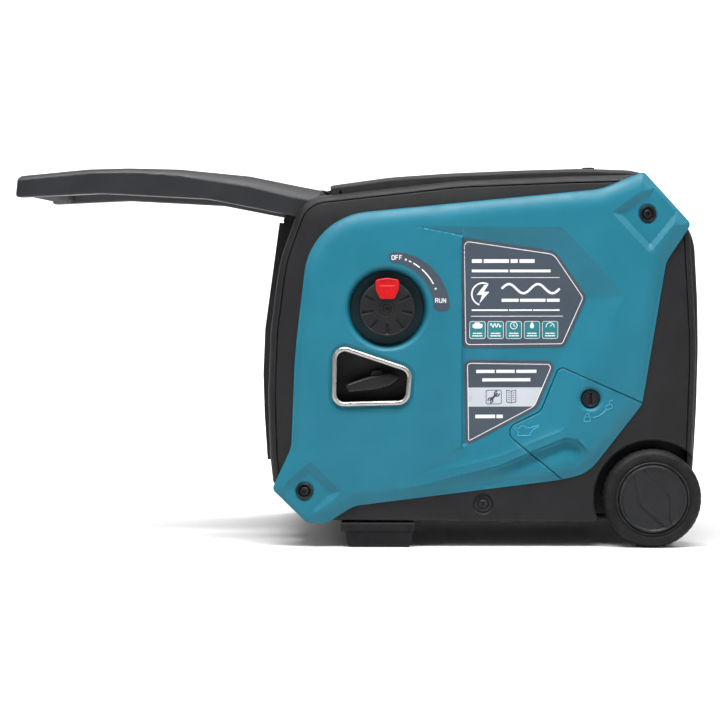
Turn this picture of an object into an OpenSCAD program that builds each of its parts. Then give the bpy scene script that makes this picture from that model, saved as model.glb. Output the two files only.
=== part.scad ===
// Inverter generator on two wheels, with a fold-down pull handle and a recoil starter.
// X runs from the control panel to the wheels, Y across the case, Z up. The floor is Z = 0.
// The handle is drawn raised. Outline corners are [x, z, radius], counter-clockwise.

/* [Case] */
// Width over the trim of both side panels
case_w = 432; // [430:1:438]
// Thickness of the moulded covers
wall = 3; // [2.5:0.5:3.5]
// Height of the case's underside above the floor
belly_z = 33; // [32:0.5:34]

/* [Wheels and feet] */
// Radius of the wheels
wheel_r = 64.5; // [62:0.5:66]
// Width of the tyres
tyre_w = 39; // [36:1:39]
// Radius of the wheel axle
axle_r = 6; // [5:0.5:7]

/* [Handle] */
// Width of each side rail
rail_w = 34; // [28:1:34]
// Radius of the hinge pins
pin_r = 6; // [5:0.5:7]

/* [Fuel dial] */
// Radius of the knob
knob_r = 36.7; // [34:0.1:38]
// Radius of the well around the knob
well_r = 55; // [52:0.5:56]

/* [Control panel] */
// Depth of the recessed face behind the panel's rim
panel_dip = 8; // [7:0.5:9]
// Radius of the power sockets
socket_r = 24; // [22:0.5:26]

/* [Hidden] */

$fn = 64;
arc_step = 12;
// Clearance between a moving piece and its neighbour, and inside a running bore
gap = 0.3;
run = 0.05;
cut = 1;

// Stations across the case, measured from its middle
face_y = case_w / 2 - 1.5;
frame_y = 202;
mid_y = 186;
cover_y = mid_y - gap;
cheek_y = 144;
rail_y = 148;
panel_y = 140;
well_y = 193;

// Main axes
wheel_x = 384.7;
arch_r = 76;
arch_y = 163;
hinge_x = -50;
hinge_z = 449;
dial_x = 36.7;
dial_z = 313.8;
lock_x = 302.3;
lock_z = 195.8;
crank_z = 178.4;
pulley_r = 45;
rope_x = 23.6;
rope_z = crank_z + pulley_r;
cap_x = 180;

// Side outline of the case and of the sculpted panel that covers it
case_pts = [
    [-113, 84, 10], [-66, 36, 14], [300, belly_z, 8], [437, 60, 8], [443, 259, 400],
    [434, 417, 40], [372, 489, 25], [275, 487, 300], [130, 481, 300], [-73.8, 458.2, 45],
    [-104, 377, 200], [-116, 285, 200], [-119.5, 200, 200], [-117, 120, 60]
];
panel_pts = [
    [-114.5, 77, 8], [-68.5, 32, 12], [-43, 31.5, 14], [-6.6, 54.4, 40], [262, 88.4, 60], [300, 97, 60],
    [370.7, 188, 25], [400.9, 374, 30], [433.6, 423.8, 8], [370.7, 492.6, 8],
    [314.4, 469.6, 60], [-62.9, 433, 90], [-84, 255, 400], [-89, 131.7, 40]
];
door_pts = [
    [238, 179, 15], [187.2, 154.2, 12], [300, 62, 0], [400, 62, 0], [400, 177.4, 0], [262, 238, 8]
];
// Screw pockets in the panel's corners
pocket_hi = [[326, 437, 4], [374.7, 384.5, 4], [414, 430, 4], [377, 473.6, 4]];
pocket_lo = [[-96, 80, 3], [-57, 45.5, 3], [-20.5, 74, 3], [-63, 115.5, 3]];
screw_hi = [376, 436.9];
screw_lo = [-71.5, 74.4];
screw_base = [162.8, 57];
ring_r = 11;
pocket_depth = 5.5;

bezel_pts = [[-35.7, 186, 16], [65.5, 188.4, 16], [69.5, 235.2, 16], [-34, 269.7, 16]];
bezel_w = 5.5;
label_t = 0.4;
upper_label_pts = [
    [134.9, 262, 10], [268.6, 262.9, 9], [298, 328.2, 11], [256.8, 388.4, 20], [132.3, 406.8, 11]
];
lower_label_pts = [[138.9, 133, 6], [233.2, 182.7, 20], [259.4, 245, 9], [136.9, 246.9, 9]];

// Open paths of the covers, outer face, listed so that the case lies on their left
top_path = [
    [375.5, 488.5], [362, 494.5], [294, 496.8], [214, 494.6], [121, 490.8], [42, 485.5], [-38, 474.5]
];
rear_path = [
    [437, 56], [441.5, 112], [445, 180], [446.8, 259], [445.5, 323], [441, 400], [433.5, 419],
    [378.5, 485]
];
tray_path = [[-56, 52], [-54, 36], [300, belly_z], [432, belly_z], [434, 54]];
floor_path = [
    [-26, 468], [-25, 440], [-30, 408], [-50, 350], [-68, 300], [-84, 235], [-92, 165],
    [-98, 110], [-96, 58], [-62, 41]
];
panel_path = [[-106, 427], [-125.5, 285], [-128, 225], [-126.5, 172], [-122.5, 110]];
hood_path = [[-30, 470.5], [-38, 469.5], [-78, 460], [-94, 448], [-101, 428.5]];
panel_skin = 4.5;
panel_tilt = atan(19.5 / 142);

// Side outline of one handle rail
rail_pts = [
    [-451, 459, 4], [-338, 464.3, 100], [-198, 457, 100], [-86, 435, 100], [-50, 429.5, 0],
    [-50, 468.5, 0], [-77, 473.6, 60], [-143, 487, 100], [-236, 496, 100], [-302, 497.4, 100],
    [-355, 496, 100], [-448, 487, 8]
];
rail_boss_r = 20;
grip_depth = 33;

function xz(p) = [p[0], p[1]];
function unit(v) = v / norm(v);
// Arc that rounds the corner b between a and c
function corner(a, b, c) =
    let (
        u = unit(xz(a) - xz(b)),
        v = unit(xz(c) - xz(b)),
        half = acos(max(-1, min(1, u * v))) / 2,
        reach = min(b[2] / tan(half), norm(xz(a) - xz(b)) / 2, norm(xz(c) - xz(b)) / 2),
        r = reach * tan(half),
        mid = xz(b) + unit(u + v) * r / sin(half),
        from = xz(b) + u * reach - mid,
        to = xz(b) + v * reach - mid,
        start = atan2(from[1], from[0]),
        turn = (atan2(to[1], to[0]) - start + 540) % 360 - 180,
        n = max(1, ceil(abs(turn) / arc_step))
    )
    [for (i = [0:n]) mid + r * [cos(start + turn * i / n), sin(start + turn * i / n)]];
function rounded(pts) = [
    for (i = [0:len(pts) - 1])
        each pts[i][2] <= 0
            ? [xz(pts[i])]
            : corner(pts[(i + len(pts) - 1) % len(pts)], pts[i], pts[(i + 1) % len(pts)])
];
function left_of(v) = [-v[1], v[0]];
// Outline moved inwards by d, or outwards where d is negative
function inset(pts, d) = [
    for (i = [0:len(pts) - 1])
        let (
            b = pts[i],
            e1 = unit(xz(b) - xz(pts[(i + len(pts) - 1) % len(pts)])),
            e2 = unit(xz(pts[(i + 1) % len(pts)]) - xz(b)),
            n1 = left_of(e1),
            n2 = left_of(e2),
            p = xz(b) + d * (n1 + n2) / (1 + n1 * n2),
            bend = e1[0] * e2[1] - e1[1] * e2[0]
        )
        [p[0], p[1], b[2] <= 0 ? 0 : max(0.5, b[2] - d * sign(bend))]
];
// Open path moved to its left by d
function shifted(path, d) = [
    for (i = [0:len(path) - 1])
        let (
            n1 = left_of(unit(path[max(i, 1)] - path[max(i, 1) - 1])),
            last = len(path) - 2,
            n2 = left_of(unit(path[min(i, last) + 1] - path[min(i, last)]))
        )
        path[i] + d * (n1 + n2) / (1 + n1 * n2)
];
function back(path) = [for (i = [len(path) - 1:-1:0]) path[i]];
function ribbon(path, t) = concat(path, back(shifted(path, t)));
// Outer face of the control panel's rim at height z
function panel_x(z) = lookup(z, [for (p = back(panel_path)) [p[1], p[0]]]);

module slab(pts, y0, y1) {
    translate([0, y1, 0])
        rotate([90, 0, 0])
            linear_extrude(y1 - y0)
                polygon(pts);
}
module rod_y(x, z, r, y0, y1) {
    translate([x, y0, z])
        rotate([-90, 0, 0])
            cylinder(h = y1 - y0, r = r);
}
module rod_x(y, z, r, x0, x1) {
    translate([x0, y, z])
        rotate([0, 90, 0])
            cylinder(h = x1 - x0, r = r);
}
module rod_z(x, y, r, z0, z1) {
    translate([x, y, z0])
        cylinder(h = z1 - z0, r = r);
}
module block(x0, x1, y0, y1, z0, z1) {
    translate([x0, y0, z0])
        cube([x1 - x0, y1 - y0, z1 - z0]);
}
module both() {
    children();
    mirror([0, 1, 0])
        children();
}
// Places a piece on the recessed face of the control panel, outwards along -X
module on_panel(y, z) {
    translate([panel_x(z) + panel_dip, y, z])
        rotate([0, z > 285 ? panel_tilt : 0, 0])
            children();
}

// ---- case ----

module frame_ring() {
    difference() {
        slab(rounded(case_pts), -frame_y, -mid_y);
        slab(rounded(inset(case_pts, wall)), -frame_y + wall, -mid_y + cut);
        slab(rounded(inset(panel_pts, 16)), -frame_y - cut, -mid_y + cut);
        rod_y(wheel_x, wheel_r, arch_r, -frame_y - cut, -mid_y + cut);
        rod_y(hinge_x, hinge_z, pin_r + run, -frame_y - cut, -mid_y + cut);
        for (s = [screw_hi, screw_lo, screw_base])
            rod_y(s[0], s[1], 3.2, -frame_y - cut, -mid_y);
    }
    // Boss that holds the outer end of the hinge pin
    difference() {
        rod_y(hinge_x, hinge_z, pin_r + 5, -frame_y + wall, -mid_y);
        rod_y(hinge_x, hinge_z, pin_r + run, -frame_y, -mid_y + cut);
    }
}
module side_frame_left() {
    color([0.13, 0.135, 0.14])
        frame_ring();
}
module side_frame_right() {
    color([0.13, 0.135, 0.14])
        mirror([0, 1, 0])
            frame_ring();
}

module base_tray() {
    color([0.11, 0.115, 0.12]) {
        slab(ribbon(tray_path, wall), -arch_y, arch_y);
        both()
            intersection() {
                slab(ribbon(tray_path, wall), -cover_y, -arch_y);
                block(-80, 296, -cover_y, -arch_y, 0, 100);
            }
        // Wheel wells
        both()
            intersection() {
                difference() {
                    rod_y(wheel_x, wheel_r, arch_r + wall, -cover_y, -arch_y + wall);
                    rod_y(wheel_x, wheel_r, arch_r, -cover_y - cut, -arch_y);
                    rod_y(wheel_x, wheel_r, axle_r + run, -cover_y, -arch_y + wall + cut);
                }
                block(300, 434, -cover_y, -arch_y + wall, belly_z + 7, 200);
            }
        // Axle blocks
        both()
            difference() {
                block(wheel_x - 18, wheel_x + 18, -150, -120, belly_z + wall, wheel_r + 18);
                rod_y(wheel_x, wheel_r, axle_r + run, -150 - cut, -120 + cut);
            }
    }
}

// Side wall between the handle channel and the control panel's box
module cheek() {
    cheek_pts = concat(
        [[-117, 102]],
        [for (p = back(floor_path)) if (p[1] > 105) p + [1, 0]],
        [[-38, 468.5], [-78, 459], [-93, 447], [-100, 428]],
        [[-119, 285], [-121.5, 225], [-120, 172]]
    );
    difference() {
        slab(cheek_pts, -cheek_y, -cheek_y + wall);
        rod_y(hinge_x, hinge_z, pin_r + run, -cheek_y - cut, -cheek_y + wall + cut);
    }
}
module front_frame() {
    color([0.12, 0.125, 0.13]) {
        slab(ribbon(floor_path, wall), -cover_y, cover_y);
        slab(ribbon(hood_path, wall), -cheek_y, cheek_y);
        both()
            cheek();
        block(-117, -97, -cheek_y, cheek_y, 102, 102 + wall);
    }
}

module control_panel() {
    rim_y = panel_y - 10;
    color([0.1, 0.105, 0.11])
        difference() {
            slab(ribbon(panel_path, panel_dip + panel_skin), -panel_y, panel_y);
            intersection() {
                slab(ribbon(shifted(panel_path, -cut), panel_dip + cut), -rim_y, rim_y);
                block(-140, -90, -rim_y, rim_y, 120, 418);
            }
            on_panel(0, 380)
                block(-cut, 20, -42, 42, -20, 20);
            on_panel(0, 318)
                block(-cut, 20, -36, 36, -12, 12);
            for (y = [-75, 5])
                on_panel(y, 210)
                    rod_x(0, 0, socket_r + 3, -cut, 20);
            for (y = [65, 95])
                on_panel(y, 150)
                    rod_x(0, 0, 7, -cut, 20);
            on_panel(85, 210)
                rod_x(0, 0, 20, -cut, 20);
            on_panel(-110, 150)
                rod_x(0, 0, 5, -cut, 20);
            for (b = button_spots)
                on_panel(b[0], b[1])
                    rod_x(0, 0, button_r + gap, -cut, 20);
        }
}

module top_cover() {
    color([0.16, 0.165, 0.17])
        difference() {
            union() {
                slab(ribbon(top_path, wall), -cover_y, cover_y);
                // Well around the fuel cap
                rod_z(cap_x, 0, 62 + wall, 466, 491);
            }
            rod_z(cap_x, 0, 62, 466 + wall, 500);
            rod_z(cap_x, 0, 30, 460, 500);
            both()
                rod_z(302, 168, 6, 480, 500);
        }
}
module top_plugs() {
    color([0.08, 0.08, 0.085])
        both() {
            rod_z(302, 168, 8, 496.9, 498.4);
            rod_z(302, 168, 5.8, 488, 496.9);
        }
}

module rear_cover() {
    color([0.13, 0.135, 0.14])
        difference() {
            slab(ribbon(rear_path, wall), -cover_y, cover_y);
            both()
                rod_y(wheel_x, wheel_r, arch_r + wall + gap, -cover_y - cut, -arch_y);
            both()
                block(400, 460, -cover_y - cut, -arch_y, 0, 100);
            block(430, 460, 10, 130, 220, 350);
            for (z = [180:14:380])
                block(430, 460, -130, -20, z, z + 6);
        }
}
module exhaust_grille() {
    color([0.3, 0.3, 0.31])
        difference() {
            block(439, 442, 10 + gap, 130 - gap, 220 + gap, 350 - gap);
            rod_x(70, 285, 20, 430, 450);
            for (y = [20:12:116])
                block(430, 450, y, y + 6, 228, 258);
            for (y = [20:12:116])
                block(430, 450, y, y + 6, 312, 342);
        }
}

module pocket_cup(pts) {
    slab(rounded(inset(pts, -wall)), -face_y, -face_y + pocket_depth + wall);
}
module panel_shell() {
    difference() {
        slab(rounded(panel_pts), -face_y, -frame_y - gap);
        slab(rounded(inset(panel_pts, wall)), -face_y + wall, -frame_y + cut);
    }
    intersection() {
        slab(rounded(panel_pts), -face_y, -frame_y);
        union() {
            pocket_cup(pocket_hi);
            pocket_cup(pocket_lo);
        }
    }
}
module pocket_cuts() {
    for (pts = [pocket_hi, pocket_lo])
        slab(rounded(pts), -face_y - cut, -face_y + pocket_depth);
    for (s = [screw_hi, screw_lo])
        rod_y(s[0], s[1], 3.2, -face_y - cut, -frame_y);
}
module side_panel_left() {
    color([0.1, 0.4, 0.5])
        difference() {
            union() {
                panel_shell();
                rod_y(dial_x, dial_z, well_r + wall, -face_y, -well_y + wall);
            }
            pocket_cuts();
            rod_y(dial_x, dial_z, well_r, -face_y - cut, -well_y);
            rod_y(dial_x, dial_z, 7, -face_y - cut, -well_y + wall + cut);
            slab(rounded(inset(bezel_pts, 2)), -face_y - cut, -frame_y);
            slab(rounded(door_pts), -face_y - cut, -frame_y);
        }
}
module side_panel_right() {
    color([0.1, 0.4, 0.5])
        mirror([0, 1, 0])
            difference() {
                panel_shell();
                pocket_cuts();
                // Cooling louvres
                for (z = [170:16:330])
                    block(20, 220, -face_y - cut, -frame_y, z, z + 6);
            }
}

module feet() {
    foot_pts = [
        [-14.4, 0], [67.5, 0], [71, 20], [73.4, 20], [73.4, belly_z - gap],
        [-23.6, belly_z - gap], [-23.6, 20], [-18, 20]
    ];
    color([0.07, 0.07, 0.075])
        both()
            slab(foot_pts, -frame_y, -145);
}
module wheel_axle() {
    color([0.6, 0.6, 0.62])
        rod_y(wheel_x, wheel_r, axle_r, -206, 206);
}
module handle_pins() {
    color([0.6, 0.6, 0.62])
        both()
            rod_y(hinge_x, hinge_z, pin_r, -frame_y + 0.5, -cheek_y + wall + 4);
}

// Countersunk cup washer with a hexagon-socket screw
module cup_screw(s, y) {
    difference() {
        rod_y(s[0], s[1], ring_r, y - 2.5, y);
        rod_y(s[0], s[1], 7, y - 3, y - 1);
    }
    difference() {
        rod_y(s[0], s[1], 5, y - 2.2, y - 1);
        translate([s[0], y - 3, s[1]])
            rotate([-90, 0, 0])
                cylinder(h = 1.6, r = 2.5, $fn = 6);
    }
    rod_y(s[0], s[1], 3, y, y + 12);
}
module case_screws() {
    color([0.05, 0.05, 0.055])
        both() {
            cup_screw(screw_hi, -face_y + pocket_depth);
            cup_screw(screw_lo, -face_y + pocket_depth);
            cup_screw(screw_base, -frame_y);
        }
}

// ---- labels and trim ----

module recoil_bezel() {
    color([0.8, 0.78, 0.75])
        difference() {
            slab(rounded(bezel_pts), -case_w / 2, -face_y);
            slab(rounded(inset(bezel_pts, bezel_w)), -case_w / 2 - cut, -face_y + cut);
        }
}
module recoil_cup() {
    cup_back = 172;
    rim_pts = inset(bezel_pts, 2 + gap);
    color([0.06, 0.06, 0.065])
        difference() {
            slab(rounded(rim_pts), -face_y + gap, -cup_back + wall);
            slab(rounded(inset(rim_pts, wall)), -face_y, -cup_back);
            rod_y(rope_x, rope_z, 4, -cup_back - cut, -cup_back + wall + cut);
        }
}
// Arc of the OFF to RUN scale, clockwise from the top of the dial
module dial_scale() {
    inner_r = 60;
    outer_r = 78;
    steps = 12;
    sweep_from = 2;
    sweep_to = 93;
    rim = [for (i = [0:steps]) sweep_from + (sweep_to - sweep_from) * i / steps];
    arc_pts = concat(
        [for (a = rim) [dial_x + inner_r * sin(a), dial_z + inner_r * cos(a)]],
        back([for (a = rim) [dial_x + outer_r * sin(a), dial_z + outer_r * cos(a)]])
    );
    slab(arc_pts, -face_y - label_t, -face_y);
}
module side_labels() {
    color([0.28, 0.33, 0.38]) {
        dial_scale();
        slab(rounded(upper_label_pts), -face_y - label_t, -face_y);
        slab(rounded(lower_label_pts), -face_y - label_t, -face_y);
    }
}

// ---- control panel pieces ----

button_r = 9;
button_spots = [[-90, 380], [90, 380], [90, 335]];
flap_w = 2 * socket_r + 14;
flap_hinge_z = 210 + socket_r + 8;

module display() {
    color([0.1, 0.12, 0.14])
        on_panel(0, 380) {
            block(-3, 0, -46, 46, -24, 24);
            block(0, 14, -41.5, 41.5, -19.5, 19.5);
        }
}
module usb_block() {
    color([0.08, 0.08, 0.09])
        on_panel(0, 318)
            difference() {
                union() {
                    block(-2, 0, -40, 40, -16, 16);
                    block(0, 14, -35.5, 35.5, -11.5, 11.5);
                }
                for (y = [-28, -8])
                    block(-3, 8, y, y + 13, -3, 3);
                rod_x(23, 0, 9, -3, 10);
            }
}
module sockets() {
    color([0.09, 0.09, 0.1])
        for (y = [-75, 5])
            on_panel(y, 210)
                difference() {
                    rod_x(0, 0, socket_r + 2.6, -1.5, 24);
                    rod_x(0, 0, socket_r - 2, -2, 18);
                    for (pin = [-9.5, 9.5])
                        rod_x(pin, 0, 2.6, 10, 22);
                }
}
module signal_ports() {
    color([0.1, 0.1, 0.11]) {
        on_panel(85, 210)
            difference() {
                rod_x(0, 0, 19.6, -4, 18);
                rod_x(0, 0, 15, -5, 10);
            }
        for (y = [65, 95])
            on_panel(y, 150)
                difference() {
                    rod_x(0, 0, 6.7, -5, 14);
                    rod_x(0, 0, 2.5, -6, 12);
                }
    }
}
module ground_terminal() {
    color([0.75, 0.62, 0.3])
        on_panel(-110, 150) {
            rod_x(0, 0, 4.8, 0, 12);
            rod_x(0, 0, 4.8, -1, 0);
            rod_x(0, 0, 8, -3.5, -1);
            rod_x(0, 0, 3, -7.5, -3.5);
        }
}
// Moisture flap over one socket, hinged along its top edge
module flap(y) {
    hx = panel_x(210) + panel_dip - 5;
    color([0.12, 0.12, 0.13]) {
        block(hx - 1.5, hx + 1.5, y - flap_w / 2, y + flap_w / 2, 210 - flap_w / 2, flap_hinge_z);
        rod_y(hx, flap_hinge_z, 2.4, y - flap_w / 2, y + flap_w / 2);
    }
}
module socket_flap_a() {
    flap(-75);
}
module socket_flap_b() {
    flap(5);
}
module button(spot) {
    on_panel(spot[0], spot[1])
        rod_x(0, 0, button_r, -5, 8);
}
module start_button() {
    color([0.7, 0.1, 0.08])
        button(button_spots[0]);
}
module eco_button() {
    color([0.15, 0.4, 0.5])
        button(button_spots[1]);
}
module reset_button() {
    color([0.15, 0.15, 0.16])
        button(button_spots[2]);
}

// ---- handle ----

module rail() {
    difference() {
        union() {
            slab(rounded(rail_pts), -rail_y - rail_w, -rail_y);
            rod_y(hinge_x, hinge_z, rail_boss_r, -rail_y - rail_w, -rail_y);
        }
        rod_y(hinge_x, hinge_z, pin_r + run, -rail_y - rail_w - cut, -rail_y + cut);
    }
}
module handle_rail_left() {
    color([0.14, 0.145, 0.15])
        rail();
}
module handle_rail_right() {
    color([0.14, 0.145, 0.15])
        mirror([0, 1, 0])
            rail();
}
module handle_grip() {
    grip_pts = [
        [-451, 460, 6], [-451 + grip_depth, 461, 6], [-451 + grip_depth, 488, 6], [-448, 486, 6]
    ];
    color([0.12, 0.125, 0.13])
        slab(rounded(grip_pts), -rail_y, rail_y);
}

// ---- wheels ----

module tyre() {
    half_w = tyre_w / 2;
    bead_r = 48;
    color([0.06, 0.06, 0.065])
        translate([wheel_x, -191.5, wheel_r])
            rotate([-90, 0, 0])
                rotate_extrude()
                    polygon([
                        [bead_r, -half_w + 2], [wheel_r - 7, -half_w], [wheel_r - 2, -half_w + 3],
                        [wheel_r, -half_w + 8], [wheel_r, half_w - 8], [wheel_r - 2, half_w - 3],
                        [wheel_r - 7, half_w], [bead_r, half_w - 2]
                    ]);
}
module hub() {
    color([0.1, 0.1, 0.105])
        difference() {
            union() {
                rod_y(wheel_x, wheel_r, 48, -209, -196);
                rod_y(wheel_x, wheel_r, 18, -196, -172.5);
                rod_y(wheel_x, wheel_r, 44.4, -212, -209);
            }
            rod_y(wheel_x, wheel_r, axle_r + run, -207, -172);
        }
}
module tyre_left() {
    tyre();
}
module tyre_right() {
    mirror([0, 1, 0])
        tyre();
}
module hub_left() {
    hub();
}
module hub_right() {
    mirror([0, 1, 0])
        hub();
}

// ---- fuel dial, starter and door ----

module dial_knob() {
    slots = 9;
    color([0.09, 0.09, 0.1])
        difference() {
            union() {
                rod_y(dial_x, dial_z, knob_r, -face_y + 1, -well_y - 2);
                rod_y(dial_x, dial_z, 5, -well_y - 2, -168);
            }
            for (i = [1:slots - 2])
                translate([dial_x, 0, dial_z])
                    rotate([0, 20 + i * 360 / slots, 0])
                        block(-1.6, 1.6, -face_y, -face_y + 4, 17, knob_r - 3);
            slab(pointer_outline(gap), -face_y, -face_y + 3);
        }
}
function pointer_outline(grow) = [
    [dial_x - 9 - grow, dial_z + 12 - grow], [dial_x + 9 + grow, dial_z + 12 - grow],
    [dial_x + 13 + grow, dial_z + 33 + grow], [dial_x - 13 - grow, dial_z + 33 + grow]
];
module dial_pointer() {
    color([0.85, 0.08, 0.1])
        slab(pointer_outline(0), -face_y + 0.2, -face_y + 3);
}
module fuel_valve() {
    color([0.55, 0.55, 0.56])
        difference() {
            block(dial_x - 16, dial_x + 16, -188, -160, dial_z - 18, dial_z + 18);
            rod_y(dial_x, dial_z, 5 + run, -189, -165);
        }
}

module recoil_grip() {
    grip_tilt = 10.7;
    grip_h = 18;
    boat = [
        [-37.5, 1, 3], [-34, -7.5, 5], [4, -11.2, 60], [27, -8, 25], [38, 0.5, 4], [27, 8.3, 20],
        [-3, 9.2, 60], [-33, 4.8, 8]
    ];
    color([0.06, 0.06, 0.065])
        difference() {
            union() {
                translate([18.3, 0, 216.9])
                    rotate([0, -grip_tilt, 0])
                        slab(rounded(boat), -206, -206 + grip_h);
                rod_y(rope_x, rope_z + 1.5, 8.5, -199, -182);
            }
            rod_y(rope_x, rope_z, 2.5, -200, -181);
        }
}
module recoil_pulley() {
    color([0.85, 0.82, 0.75])
        difference() {
            rod_x(0, crank_z, pulley_r + 4, 17, 30);
            difference() {
                rod_x(0, crank_z, pulley_r + 5, 20.5, 26.5);
                rod_x(0, crank_z, pulley_r - 3, 20, 27);
            }
            rod_x(0, crank_z, 9 + run, 16, 31);
        }
}

module maintenance_door() {
    color([0.1, 0.4, 0.5])
        difference() {
            intersection() {
                union() {
                    difference() {
                        slab(rounded(panel_pts), -face_y, -frame_y - gap);
                        slab(rounded(inset(panel_pts, wall)), -face_y + wall, -frame_y);
                    }
                    rod_y(lock_x, lock_z, 19, -face_y, -frame_y - gap);
                }
                slab(rounded(inset(door_pts, 0.8)), -face_y, -frame_y);
            }
            rod_y(lock_x, lock_z, 11.3 + gap, -face_y - cut, -frame_y);
        }
}
module door_lock() {
    color([0.05, 0.06, 0.06])
        difference() {
            union() {
                rod_y(lock_x, lock_z, 11.3, -face_y + 2, -frame_y);
                rod_y(lock_x, lock_z, 4, -frame_y, -176);
            }
            block(lock_x - 1.5, lock_x + 1.5, -face_y, -face_y + 5, lock_z - 9, lock_z + 9);
        }
}

// ---- fuel system ----

module fuel_tank() {
    tank_pts = [
        [80, 386, 15], [330, 386, 15], [330, 456, 15], [80, 448, 15]
    ];
    color([0.75, 0.75, 0.72]) {
        difference() {
            slab(rounded(tank_pts), -150, 150);
            slab(rounded(inset(tank_pts, 2.5)), -147.5, 147.5);
            rod_z(cap_x, 0, 21, 440, 470);
        }
        difference() {
            rod_z(cap_x, 0, 24, 448.5, 480);
            rod_z(cap_x, 0, 21, 440, 481);
        }
    }
}
module cap_seal() {
    color([0.1, 0.1, 0.1])
        difference() {
            rod_z(cap_x, 0, 20.5, 464, 483);
            rod_z(cap_x, 0, 14, 463, 480);
        }
}
module fuel_cap() {
    color([0.09, 0.09, 0.1])
        difference() {
            rod_z(cap_x, 0, 40, 471, 493);
            rod_z(cap_x, 0, 25.5, 470, 483 + gap);
            for (a = [0:30:330])
                rotate_about_cap(a)
                    rod_z(cap_x + 42, 0, 4.5, 470, 494);
        }
}
module rotate_about_cap(a) {
    translate([cap_x, 0, 0])
        rotate([0, 0, a])
            translate([-cap_x, 0, 0])
                children();
}

// ---- engine and alternator ----

module crankcase() {
    color([0.55, 0.56, 0.57])
        difference() {
            union() {
                block(126, 250, -85, 85, 95, 255);
                both()
                    block(140, 236, -110, -85, 95, 107);
            }
            rod_x(0, crank_z, 12 + run, 120, 260);
            block(140, 236, -70, 70, 110, crank_z - 30);
        }
}
// The barrel leans away from the starter side
module leaning() {
    translate([0, 0, crank_z])
        rotate([-20, 0, 0])
            children();
}
module cylinder_barrel() {
    color([0.6, 0.61, 0.62])
        leaning()
            difference() {
                union() {
                    rod_z(188, 0, 34, 105, 165);
                    for (z = [108:8:160])
                        rod_z(188, 0, 50, z, z + 3);
                }
                rod_z(188, 0, 26, 100, 158);
            }
}
module head_cover() {
    color([0.5, 0.51, 0.52])
        leaning()
            block(150, 226, -36, 36, 166, 190);
}
module spark_plug() {
    color([0.9, 0.9, 0.88])
        leaning() {
            rod_x(0, 176, 6, 226.5, 250);
            rod_x(0, 176, 9, 250, 272);
        }
}
module carburettor() {
    color([0.65, 0.65, 0.66])
        difference() {
            union() {
                rod_y(185, 300, 17, -100, -40);
                rod_z(185, -70, 19, 268, 300);
            }
            rod_y(185, 300, 9, -101, -39);
        }
}
module air_cleaner() {
    color([0.12, 0.12, 0.12])
        difference() {
            block(130, 240, -165, -101, 268, 350);
            block(133, 237, -162, -104, 271, 347);
            rod_y(185, 300, 9, -105, -100);
        }
}
module muffler() {
    color([0.42, 0.4, 0.38])
        difference() {
            union() {
                slab(rounded([[300, 190, 40], [410, 190, 40], [410, 330, 40], [300, 330, 40]]),
                     -110, 110);
                rod_x(70, 285, 14, 405, 440);
            }
            slab(rounded([[302, 192, 38], [408, 192, 38], [408, 328, 38], [302, 328, 38]]),
                 -108, 108);
            rod_x(70, 285, 11, 400, 441);
        }
}
module stator() {
    teeth = 18;
    color([0.7, 0.45, 0.25])
        difference() {
            rod_x(0, crank_z, 72, 80, 112);
            rod_x(0, crank_z, 20, 79, 113);
            for (i = [0:teeth - 1])
                translate([0, 0, crank_z])
                    rotate([i * 360 / teeth, 0, 0])
                        block(79, 113, -3, 3, 45, 73);
        }
}
module rotor() {
    color([0.35, 0.36, 0.38])
        difference() {
            rod_x(0, crank_z, 84, 68, 116);
            rod_x(0, crank_z, 76, 74, 117);
            rod_x(0, crank_z, 12, 67, 80);
        }
}
module crankshaft() {
    blades = 12;
    color([0.5, 0.51, 0.53]) {
        rod_x(0, crank_z, 12, 34, 262);
        // Cooling fan on the free end
        difference() {
            rod_x(0, crank_z, 82, 36, 42);
            rod_x(0, crank_z, 11, 35, 43);
        }
        for (i = [0:blades - 1])
            translate([0, 0, crank_z])
                rotate([i * 360 / blades, 0, 0])
                    block(42, 60, -1.5, 1.5, 45, 80);
    }
}
module fan_shroud() {
    color([0.13, 0.13, 0.14]) {
        difference() {
            rod_x(0, crank_z, 94, 10, 64);
            rod_x(0, crank_z, 90, 13, 65);
            for (i = [0:11])
                translate([0, 0, crank_z])
                    rotate([i * 30, 0, 0])
                        block(5, 20, -5, 5, 54, 84);
            translate([20, -100, rope_z - 6])
                cube([10, 60, 12]);
        }
        rod_x(0, crank_z, 9, 13, 31);
    }
}
module inverter_module() {
    fins = 14;
    color([0.7, 0.71, 0.72])
        difference() {
            block(-70, -14, -120, 120, 70, 200);
            for (i = [0:fins - 1])
                block(-36, -13, -114 + i * 17, -104 + i * 17, 69, 201);
        }
}
module battery() {
    color([0.1, 0.1, 0.11]) {
        block(-10, 76, 100, 170, 40, 76);
        for (y = [112, 158])
            rod_z(0, y, 4, 76, 82);
    }
}
module oil_dipstick() {
    color([0.9, 0.7, 0.1])
        translate([225, -90, 130])
            rotate([60, 0, 0]) {
                cylinder(h = 26, r = 9);
                translate([0, 0, 26])
                    cylinder(h = 14, r = 16);
            }
}
module engine_mounts() {
    color([0.08, 0.08, 0.08])
        both()
            for (x = [155, 220])
                rod_z(x, -98, 14, belly_z + wall + 2.5, 95);
}

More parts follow.
